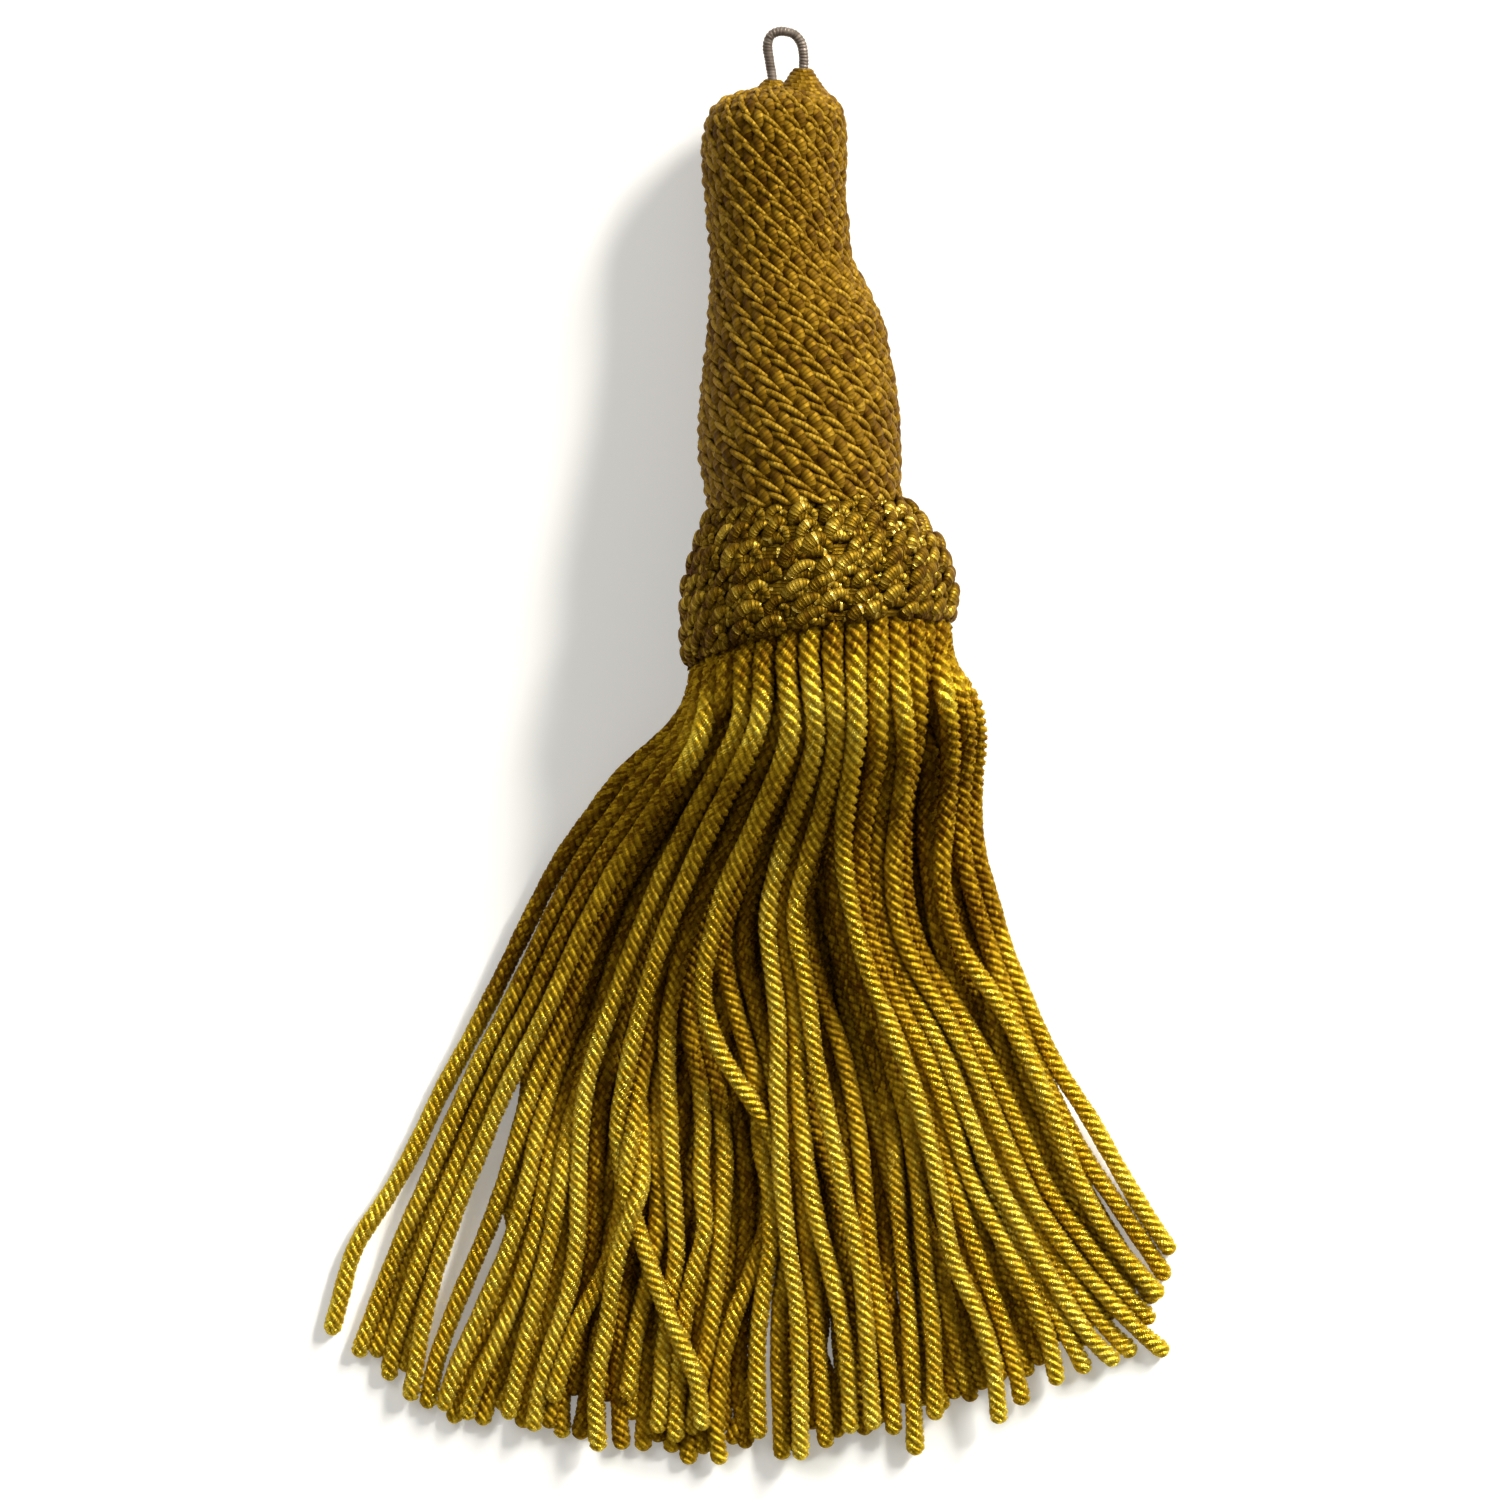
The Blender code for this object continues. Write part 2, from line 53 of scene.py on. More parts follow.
# ---- the cords that show, from the collar's rim to their ends --------------------------------------------------------
# name, height rank in the upper half, height rank in the lower half (higher lies on top), course in plan
STRANDS = [
    ("a1", 3, 3, (692,690),(660,735),(612,790),(557,866),(512,954),(488,1003),(458,1060),(436,1100),(413,1150),(385,1200),(352,1250),(338,1300),(327,1340)),
    ("a2", 4, 3, (698,688),(674,735),(630,795),(576,870),(533,955),(509,1005),(480,1060),(461,1100),(440,1150),(420,1200),(398,1250),(379,1300),(354,1362)),
    ("a3", 4, 3, (706,687),(687,738),(646,800),(595,875),(553,955),(528,1010),(500,1062),(480,1105),(461,1150),(441,1200),(421,1250),(405,1300),(393,1350),(387,1386)),
    ("a4", 5, 4, (714,686),(700,738),(662,800),(612,875),(571,955),(547,1010),(519,1062),(498,1105),(480,1150),(459,1200),(441,1250),(426,1300),(414,1350),(407,1406)),
    ("a5", 3, 3, (722,684),(712,740),(677,800),(628,875),(589,950),(566,1010),(541,1062),(527,1105),(514,1150),(499,1200),(480,1248),(464,1285),(448,1325),(434,1365),(424,1414)),
    ("a6", 1, 4, (728,683),(718,740),(686,797),(638,862),(604,932),(584,1000),(560,1060),(545,1105),(533,1150),(523,1200),(508,1250),(487,1300),(466,1345),(450,1385),(441,1416)),
    ("a7", 0, 3, (736,680),(726,740),(697,792),(652,856),(615,930),(599,990),(578,1060),(562,1105),(551,1150),(542,1200),(531,1250),(514,1300),(493,1350),(473,1390),(461,1424)),
    ("a8", 1, 4, (742,676),(733,740),(706,786),(663,850),(629,920),(610,985),(592,1045),(577,1095),(566,1140),(558,1190),(549,1240),(538,1290),(526,1340),(514,1390),(506,1424)),
    ("b1", 5, 4, (752,668),(746,700),(735,740),(712,782),(688,825),(666,868),(650,905),(634,945),(619,985),(606,1020),(594,1055),(583,1095),(576,1140),(577,1190),(577,1235),(570,1285),(556,1340),(540,1390),(531,1436)),
    ("b0", 2, 2, (757,668),(753,700),(741,740),(720,782),(697,825),(676,868),(660,905),(645,945),(630,985),(618,1020),(607,1060),(600,1100),(594,1150),(592,1200),(590,1250),(583,1300),(575,1345),(568,1402)),
    ("b2", 6, 5, (768,664),(763,700),(752,740),(733,782),(711,825),(691,868),(676,905),(660,945),(648,985),(638,1020),(629,1060),(622,1100),(621,1150),(625,1195),(619,1235),(604,1277),(586,1308),(573,1330),(564,1355),(556,1380),(549,1406)),
    ("x1", 2, 5, (772,662),(772,700),(762,740),(743,785),(722,830),(702,870),(686,905),(670,945),(659,985),(650,1025),(643,1065),(636,1110),(629,1150),(625,1190),(631,1217),(641,1242),(650,1270),(660,1297),(670,1323),(683,1350),(697,1382),(701,1434)),
    ("x3", 1, 5, (757,667),(750,740),(708,822),(672,905),(656,950),(646,1000),(643,1060),(644,1110),(642,1150),(636,1190),(624,1230),(613,1263),(609,1297),(606,1330),(599,1363),(594,1400),(598,1456)),
    ("x5", 1, 4, (775,662),(764,740),(729,825),(696,900),(672,960),(661,1010),(656,1060),(655,1110),(657,1160),(659,1210),(654,1250),(647,1285),(640,1315),(633,1350),(626,1404)),
    ("b3", 4, 4, (780,660),(778,700),(768,740),(752,785),(733,830),(714,870),(698,905),(684,945),(674,985),(667,1025),(667,1065),(668,1110),(668,1150),(672,1200),(677,1250),(672,1300),(664,1350),(660,1400),(657,1438)),
    ("l1", 2, 4, (786,656),(786,700),(778,742),(762,786),(743,830),(724,870),(708,905),(697,945),(690,985),(690,1020),(693,1050),(700,1080),(703,1130),(700,1180),(706,1230),(697,1263),(687,1295),(680,1340),(677,1397),(675,1447)),
    ("t5", 1, 3, (790,655),(792,700),(786,742),(768,786),(748,830),(729,870),(713,905),(703,945),(699,985),(703,1030),(711,1062),(718,1087),(723,1130),(725,1170),(723,1203),(720,1243),(717,1280),(712,1315),(706,1360),(697,1402),(691,1440)),
    ("c1", 6, 3, (793,652),(797,700),(790,742),(773,785),(754,828),(734,868),(718,905),(711,940),(703,972),(703,1000),(709,1025),(720,1053),(740,1085),(760,1112),(773,1145),(774,1190),(767,1237),(750,1280),(733,1323),(723,1357),(717,1400),(716,1440),(721,1470)),
    ("m1", 0, 1, (796,654),(795,740),(762,810),(735,880),(716,940),(708,1000),(715,1050),(730,1100),(742,1150),(748,1200),(746,1250),(740,1300),(737,1363),(742,1454)),
    ("c2", 4, 4, (800,652),(803,700),(797,745),(780,790),(762,830),(745,870),(730,905),(722,940),(725,970),(732,1000),(741,1030),(750,1058),(759,1085),(767,1130),(774,1180),(772,1235),(764,1290),(758,1340),(757,1390),(759,1444)),
    ("c3", 3, 3, (806,652),(806,700),(798,750),(780,810),(762,860),(749,900),(744,940),(749,980),(758,1015),(766,1045),(772,1080),(778,1120),(786,1165),(789,1215),(786,1265),(780,1310),(779,1363),(783,1465)),
    ("d1", 5, 5, (818,649),(822,700),(818,742),(805,785),(790,825),(778,865),(769,900),(767,930),(771,962),(776,1000),(779,1040),(777,1080),(777,1110),(778,1150),(780,1200),(785,1230),(790,1265),(797,1300),(800,1363),(801,1465)),
    ("d5", 3, 3, (822,649),(826,700),(820,745),(806,795),(793,838),(782,875),(774,905),(775,935),(781,967),(786,1000),(788,1040),(788,1080),(790,1115),(795,1155),(801,1200),(808,1250),(815,1305),(820,1363),(828,1453)),
    ("d2", 4, 5, (826,648),(830,700),(824,750),(812,800),(798,845),(787,880),(780,910),(783,940),(790,972),(795,1005),(797,1040),(798,1075),(800,1110),(804,1150),(810,1190),(819,1230),(829,1265),(837,1300),(846,1345),(850,1390),(851,1438)),
    ("d3", 5, 6, (832,647),(836,700),(830,760),(816,820),(803,870),(794,905),(797,945),(806,985),(810,1020),(814,1050),(821,1085),(829,1120),(836,1155),(843,1190),(852,1225),(860,1265),(864,1300),(868,1345),(871,1390),(874,1434)),
    ("d4", 3, 4, (836,647),(838,710),(828,790),(812,860),(803,905),(808,940),(814,963),(823,997),(830,1018),(841,1045),(849,1080),(856,1115),(861,1150),(865,1190),(868,1230),(873,1270),(881,1310),(888,1360),(893,1400),(895,1440)),
    ("e0", 1, 3, (840,646),(838,720),(826,800),(818,860),(827,905),(838,945),(846,975),(859,1010),(872,1050),(884,1090),(892,1130),(896,1170),(899,1210),(903,1250),(908,1300),(912,1350),(914,1400),(917,1461)),
    ("e6", 3, 4, (844,645),(846,720),(838,790),(832,850),(836,895),(846,935),(857,972),(872,1008),(887,1047),(900,1088),(910,1128),(917,1170),(922,1210),(927,1255),(931,1300),(935,1350),(937,1425)),
    ("e1", 6, 6, (847,645),(853,695),(855,740),(849,780),(844,820),(843,855),(848,890),(855,925),(864,960),(880,1000),(897,1040),(912,1080),(924,1120),(934,1160),(941,1195),(947,1230),(954,1263),(970,1297),(985,1330),(995,1363),(1001,1428)),
    ("y2", 3, 4, (860,643),(866,697),(866,740),(858,780),(852,820),(850,855),(855,892),(862,928),(873,962),(887,995),(903,1028),(918,1062),(931,1100),(942,1138),(952,1175),(963,1215),(977,1255),(995,1300),(1010,1345),(1025,1410)),
    ("e2", 5, 5, (870,641),(878,700),(879,740),(872,780),(864,820),(860,850),(862,890),(868,925),(879,960),(893,990),(908,1018),(925,1050),(940,1085),(952,1120),(962,1155),(973,1187),(993,1223),(1013,1257),(1035,1297),(1050,1340),(1060,1390)),
    ("y3", 3, 4, (875,641),(884,700),(885,745),(878,790),(871,833),(869,870),(874,908),(886,945),(902,980),(919,1013),(936,1045),(951,1078),(966,1112),(980,1150),(995,1190),(1012,1230),(1032,1270),(1055,1310),(1076,1350),(1090,1378)),
    ("e3", 4, 5, (880,640),(888,700),(890,750),(884,800),(877,845),(876,890),(882,930),(895,965),(911,995),(930,1030),(946,1060),(960,1095),(972,1125),(984,1155),(1000,1190),(1022,1230),(1045,1270),(1068,1310),(1094,1345),(1121,1368)),
    ("y5", 2, 3, (886,639),(893,700),(896,750),(891,800),(886,845),(885,890),(891,930),(905,965),(922,995),(940,1025),(957,1055),(972,1090),(986,1122),(1000,1155),(1016,1192),(1038,1230),(1062,1270),(1090,1305),(1116,1338),(1138,1360)),
    ("f1", 5, 5, (892,638),(898,700),(901,750),(898,800),(893,845),(893,890),(900,930),(914,965),(932,995),(950,1022),(967,1050),(982,1085),(997,1120),(1010,1150),(1028,1190),(1050,1228),(1075,1263),(1107,1297),(1138,1328),(1171,1359)),
    ("f2", 4, 4, (912,635),(918,690),(915,740),(905,790),(903,840),(905,890),(913,930),(926,960),(945,990),(963,1017),(980,1047),(996,1077),(1010,1107),(1024,1137),(1042,1175),(1062,1210),(1088,1245),(1112,1277),(1136,1305),(1154,1330)),
    ("g1", 6, 6, (935,631),(945,680),(950,730),(950,780),(945,830),(942,870),(945,905),(955,935),(970,962),(987,985),(1003,1010),(1018,1035),(1034,1065),(1050,1100),(1062,1136),(1075,1171),(1092,1207),(1114,1243),(1141,1277),(1163,1303)),
    ("y6", 3, 3, (942,630),(954,680),(960,730),(960,780),(955,830),(952,875),(956,910),(966,940),(981,966),(997,991),(1013,1017),(1029,1045),(1045,1078),(1058,1112),(1068,1146),(1080,1181),(1097,1216),(1118,1252),(1141,1283),(1160,1306)),
    ("g2", 5, 5, (948,629),(960,680),(967,730),(963,780),(961,830),(965,865),(977,905),(989,945),(1004,985),(1019,1022),(1036,1062),(1056,1102),(1069,1128),(1080,1149),(1097,1175),(1114,1199),(1134,1228),(1153,1256),(1171,1284)),
    ("h1", 5, 5, (958,630),(971,690),(978,740),(973,795),(978,850),(992,900),(1005,945),(1020,985),(1035,1022),(1052,1062),(1068,1084),(1092,1120),(1109,1150),(1126,1180),(1138,1200),(1147,1215),(1176,1258)),
]

# ---- the fringe's envelope, as in the CAD model ----------------------------------------------------------------------
ROOT_X, ROOT_Y, ROOT_Z, ROOT_TILT = 5.95, 8.0, 9.4, math.radians(9.0)
ROOT_W, ROOT_H = 11.2, 9.35
MIDDLE = np.array((0.18, 0.18))
GUIDE_T = (0.0, 0.12, 0.26, 0.40, 0.54, 0.68, 0.82, 1.0)
GUIDES = [
    [(-5.3, 6.3), (-9.8, 0.0), (-16.3, -8.4), (-20.5, -16.7), (-24.7, -25.0), (-28.8, -33.4), (-33.4, -41.7), (-35.6, -49.5)],
    [(-4.0, 6.5), (-7.0, 0.0), (-12.7, -8.4), (-17.4, -16.7), (-21.2, -25.0), (-25.0, -33.4), (-28.0, -41.7), (-29.0, -54.0)],
    [(-0.9, 6.9), (-2.2, 0.0), (-6.4, -8.4), (-10.5, -16.7), (-14.7, -25.0), (-18.0, -33.4), (-19.7, -41.7), (-20.5, -56.2)],
    [(2.6, 7.5), (1.6, 0.0), (-1.7, -8.4), (-5.4, -16.7), (-8.2, -25.0), (-10.7, -33.4), (-12.5, -41.7), (-12.0, -58.5)],
    [(5.95, 8.0), (5.2, 0.0), (3.0, -8.4), (0.9, -16.7), (-0.3, -25.0), (-1.7, -33.4), (-2.0, -41.7), (-2.2, -60.0)],
    [(9.4, 8.5), (8.6, 0.0), (6.0, -8.4), (6.0, -16.7), (7.4, -25.0), (8.4, -33.4), (9.4, -41.7), (10.2, -57.3)],
    [(12.6, 9.0), (12.2, 0.0), (10.4, -8.4), (11.3, -16.7), (13.8, -25.0), (15.8, -33.4), (17.5, -41.7), (19.4, -54.2)],
    [(15.5, 9.5), (16.2, 0.3), (15.3, -7.6), (17.3, -16.0), (20.4, -24.4), (23.2, -32.6), (26.1, -40.4), (28.6, -50.0)],
    [(17.1, 9.8), (20.1, 0.9), (19.6, -6.0), (21.8, -15.0), (25.8, -23.8), (29.7, -31.3), (33.0, -37.2), (36.1, -42.8)],
]
THICKNESS = [(0.0, 18.7), (0.08, 17.2), (0.18, 13.6), (0.30, 10.4), (0.45, 8.0), (0.60, 6.4), (0.75, 5.2), (0.90, 4.4), (1.0, 3.9)]


def smooth(a):
    a = np.clip(a, 0.0, 1.0)
    return a * a * (3 - 2 * a)


def curve(knots, values, at):
    """Smooth values (any trailing shape) at positions along increasing knots."""
    knots, values, at = np.asarray(knots, float), np.asarray(values, float), np.asarray(at, float)
    slope = np.empty_like(values)
    gap = np.diff(knots).reshape((-1,) + (1,) * (values.ndim - 1))
    step = np.diff(values, axis=0) / gap
    slope[1:-1] = (values[2:] - values[:-2]) / (gap[1:] + gap[:-1])
    slope[0], slope[-1] = step[0], step[-1]
    i = np.clip(np.searchsorted(knots, at, side="right") - 1, 0, len(knots) - 2)
    span = knots[i + 1] - knots[i]
    s = np.clip((at - knots[i]) / span, 0, 1)
    shape = s.shape + (1,) * (values.ndim - 1)
    s, span = s.reshape(shape), span.reshape(shape)
    return (
        values[i] * (2 * s**3 - 3 * s**2 + 1)
        + slope[i] * span * (s**3 - 2 * s**2 + s)
        + values[i + 1] * (3 * s**2 - 2 * s**3)
        + slope[i + 1] * span * (s**3 - s**2)
    )


def flow(u, t):
    """Point in plan on the cords' flow: u 0 to 1 across the fringe, t an array from 0 to 1 down it."""
    t = np.asarray(t, float)
    lines = np.stack([curve(GUIDE_T, np.array(g), t) for g in GUIDES])
    return curve(np.linspace(0, 1, len(GUIDES)), lines, np.full(1, u))[0] - MIDDLE


def top_height(u, t):
    spread = np.maximum(0.0, 1 - np.abs(2 * u - 1) ** 3.0) ** 0.7
    knots, values = zip(*THICKNESS)
    lying = 1.6 + (np.interp(t, knots, values) - 1.6) * spread
    hung = ROOT_Z + ROOT_H * np.sqrt(np.maximum(0.008, 1 - (2 * u - 1) ** 2))
    s = smooth(t / 0.24)
    return hung * (1 - s) + lying * s


def bottom_height(u, t):
    s = smooth(t / 0.2)
    hung = ROOT_Z - ROOT_H * np.sqrt(np.maximum(0.008, 1 - (2 * u - 1) ** 2))
    return np.maximum(0.0, hung * (1 - s) - 0.6 * s)


# ---- the cords' lay ---------------------------------------------------------------------------------------------------
CORDS = 101
POINTS = 62
INSIDE = (1.4, 2.9)  # how far the cords reach into the collar, and how much further those on the upper side do


def radius_at(t):
    """The cord's radius over its crests, fuller where it leaves the collar."""
    return 0.79 + 0.17 * (1 - smooth(t / 0.45))


def root_slots():
    """Places in the collar's mouth, ring by ring, as shares of its half width and height."""
    slots = []
    for share, count, turn in ((0.90, 32, 0.0), (0.735, 26, 0.09), (0.57, 20, 0.0), (0.405, 14, 0.1), (0.235, 8, 0.0), (0.06, 4, 0.3)):
        for i in range(count):
            a = 2 * math.pi * (i + 0.5) / count + turn
            slots.append((share * math.cos(a), share * math.sin(a)))
    return np.array(slots)


def even(points, count):
    """The same line with its points evenly spaced."""
    walked = np.concatenate([[0], np.cumsum(np.linalg.norm(np.diff(points, axis=0), axis=1))])
    return np.stack([np.interp(np.linspace(0, walked[-1], count), walked, points[:, k]) for k in range(points.shape[1])], 1)


def across_share(xy, t):
    """How far across the fringe a point in plan lies, 0 to 1, at each t."""
    us = np.linspace(0, 1, 41)
    lines = np.stack([flow(u, t)[:, 0] for u in us])
    return np.array([np.interp(x, lines[:, i], us) for i, x in enumerate(xy[:, 0])])


def side_limits(y, shown):
    """The outer cords leave clear gaps between them: the cords below keep between these two sides."""
    def course(name):
        line = shown[name]
        return np.interp(-y, -line[:, 1], line[:, 0])
    down = (749.5 - (y + 0.18) * 12.0)
    a = smooth((down - 1000.0) / 110.0)
    b = smooth((down - 1180.0) / 70.0)
    left = (course("a3") * (1 - a) + course("a5") * a) * (1 - b) + (course("a6") + 0.5) * b
    c = smooth((down - 960.0) / 90.0)
    right = course("g2") * (1 - c) + (course("g1") - 0.4) * c
    return left + 0.2, right - 0.2


def lay_targets():
    """Where each cord would like to lie: the cords that show keep to their courses, the others fill in below them."""
    t = np.linspace(0, 1, POINTS)
    slots = root_slots()
    free = np.ones(len(slots), bool)
    aims, grip, roots, ranks = [], [], [], []
    order = sorted(range(len(STRANDS)), key=lambda k: -STRANDS[k][1])
    taken = {}
    for k in order:
        x, y = plan(*STRANDS[k][3])
        X = np.clip((x - (ROOT_X - MIDDLE[0])) / ROOT_W, -0.93, 0.93)
        want = 1.0 if STRANDS[k][1] >= 5 else (0.75 if STRANDS[k][1] >= 3 else 0.45)
        Z = math.sqrt(max(0.02, 0.92**2 - X * X)) * want
        away = np.hypot(slots[:, 0] - X, 0.6 * (slots[:, 1] - Z))
        away[~free] = 9
        pick = int(np.argmin(away))
        free[pick] = False
        taken[k] = slots[pick]
    for k, strand in enumerate(STRANDS):
        course = np.array([plan(*p) for p in strand[3:]])
        knots = np.concatenate([[0], np.cumsum(np.linalg.norm(np.diff(course, axis=0), axis=1))])
        fine = curve(knots, course, np.linspace(0, knots[-1], 200))
        xy = even(fine, POINTS)
        u = across_share(xy, t)
        rank = strand[1] + (strand[2] - strand[1]) * smooth((t - 0.45) / 0.25)
        high = top_height(np.clip(u, 0.02, 0.98), t)
        z = high - radius_at(t) - (6 - rank) * (1.10 - 0.55 * smooth(t / 0.9))
        z = np.maximum(z, radius_at(t))
        aims.append(np.column_stack([xy, z]))
        ranks.append(rank)
        grip.append(3.0 if strand[0] in ("a1", "a2", "a5", "g2", "h1") else (2.5 if strand[0] in ("a6", "g1", "y6") else 1.0))
        roots.append(taken[k])
    # two more lie between the outer ones at the left, a little under them
    for one, other, reach in ((1, 2, 0.985), (2, 3, 0.975)):
        between = 0.5 * (aims[one] + aims[other])
        between[:, 2] = np.maximum(np.minimum(aims[one][:, 2], aims[other][:, 2]) - 1.2, radius_at(t))
        aims.append(np.stack([np.interp(t * reach, t, between[:, k]) for k in range(3)], 1))
        grip.append(1.0)
        away = np.hypot(slots[:, 0] - taken[one][0], slots[:, 1] - taken[one][1] + 0.2)
        away[~free] = 9
        pick = int(np.argmin(away))
        free[pick] = False
        roots.append(slots[pick])
    rest = [i for i in range(len(slots)) if free[i]]
    count = CORDS - len(aims)
    rest = [rest[int(k)] for k in np.linspace(0, len(rest) - 1e-6, count, endpoint=False)]
    shown = {s[0]: a for s, a in zip(STRANDS, aims)}  # the courses by name
    rest = sorted(rest, key=lambda i: slots[i][0])
    spread = np.linspace(-0.96, 0.96, count)
    for i, even_x in zip(rest, spread):
        X, Z = slots[i]
        u = float(np.clip(0.5 + 0.5 * even_x + rng.normal(0, 0.010), 0.02, 0.98))
        level = (Z + math.sqrt(1 - X * X)) / (2 * math.sqrt(1 - X * X))
        reach = 1.0 - abs(rng.normal(0, 0.016))
        drift = rng.normal(0, 0.012) * np.sin(np.pi * t) + rng.normal(0, 0.008) * np.sin(2 * np.pi * t)
        drift = drift + 0.5 * (X / 0.97 - even_x) * 0.6 * (1 - smooth(t / 0.55))
        fine = np.linspace(0, reach, POINTS)
        xy = np.array([flow(float(np.clip(u + d, 0.02, 0.98)), np.array([f]))[0] for d, f in zip(drift, fine)])
        left, right = side_limits(xy[:, 1], shown)
        xy[:, 0] += (np.clip(xy[:, 0], left, right) - xy[:, 0]) * smooth((fine - 0.1) / 0.15)
        low, high = bottom_height(u, fine), top_height(u, fine)
        level = min(level, 0.72)
        z = low + (high - low - 2 * radius_at(fine)) * level + radius_at(fine)
        aims.append(np.column_stack([xy, z]))
        grip.append(0.0)
        roots.append(slots[i])
    aims, grip, roots = np.array(aims), np.array(grip), np.array(roots)
    # the first points stand in the collar's mouth and the next ones leave it smoothly
    x = ROOT_X - MIDDLE[0] + roots[:, 0] * ROOT_W
    y = ROOT_Y - MIDDLE[1] + roots[:, 0] * ROOT_W * math.tan(ROOT_TILT)
    z = ROOT_Z + roots[:, 1] * ROOT_H
    start = np.stack([x, y, z], 1)
    lead = np.clip(np.linspace(0, 1, POINTS) / 0.13, 0, 1)
    s = smooth(lead)[None, :, None]
    along = np.stack([start + np.array([0.0, -1.0, 0.0]) * d for d in np.linspace(0, 70, POINTS)], 1)
    aims = along * (1 - s) + aims * s
    aims[:, 0] = start
    return aims, grip, shown, ranks


GRID_LOW, GRID_STEP, GRID_SIZE = np.array([-42.0, -66.0]), 0.5, (170, 160)


def cover_height(aims, grip):
    """Height of the cords that show, over a grid in plan. The others stay below it."""
    xs = GRID_LOW[0] + GRID_STEP * np.arange(GRID_SIZE[0])
    grid = np.full(GRID_SIZE, 9.0)
    top = [a for a, g in zip(aims, grip) if g > 0]
    for row in range(GRID_SIZE[1]):
        y = GRID_LOW[1] + GRID_STEP * row
        x, z = [], []
        for line in top:
            if line[-1, 1] - 1.5 <= y <= line[0, 1]:
                x.append(np.interp(-y, -line[:, 1], line[:, 0]))
                z.append(np.interp(-y, -line[:, 1], line[:, 2]))
        if len(x) > 1:
            order = np.argsort(x)
            grid[:, row] = np.interp(xs, np.array(x)[order], np.array(z)[order])
    return grid


def look_up(grid, points):
    cell = np.clip(((points[..., :2] - GRID_LOW) / GRID_STEP).astype(int), 0, np.array(GRID_SIZE) - 1)
    return grid[cell[..., 0], cell[..., 1]]


def neighbours(flat, owner, index, reach):
    """Pairs of points on different cords, or far apart on the same one, closer than reach."""
    low = flat.min(0) - reach
    cell = np.floor((flat - low) / reach).astype(np.int64)
    size = cell.max(0) + 3
    key = (cell[:, 0] + 1) + (cell[:, 1] + 1) * size[0] + (cell[:, 2] + 1) * size[0] * size[1]
    order = np.argsort(key, kind="stable")
    ranked = key[order]
    firsts, seconds = [], []
    for dx in (-1, 0, 1):
        for dy in (-1, 0, 1):
            for dz in (-1, 0, 1):
                step = dx + dy * size[0] + dz * size[0] * size[1]
                if step < 0:
                    continue
                lo = np.searchsorted(ranked, key + step, side="left")
                hi = np.searchsorted(ranked, key + step, side="right")
                n = hi - lo
                i = np.repeat(np.arange(len(key)), n)
                offset = np.arange(n.sum()) - np.repeat(np.cumsum(n) - n, n)
                j = order[np.repeat(lo, n) + offset]
                keep = (i < j) if step == 0 else (i != j)
                firsts.append(i[keep])
                seconds.append(j[keep])
    i, j = np.concatenate(firsts), np.concatenate(seconds)
    apart = np.linalg.norm(flat[i] - flat[j], axis=1)
    keep = (apart < reach) & ((owner[i] != owner[j]) | (np.abs(index[i] - index[j]) > 4))
    return i[keep], j[keep]


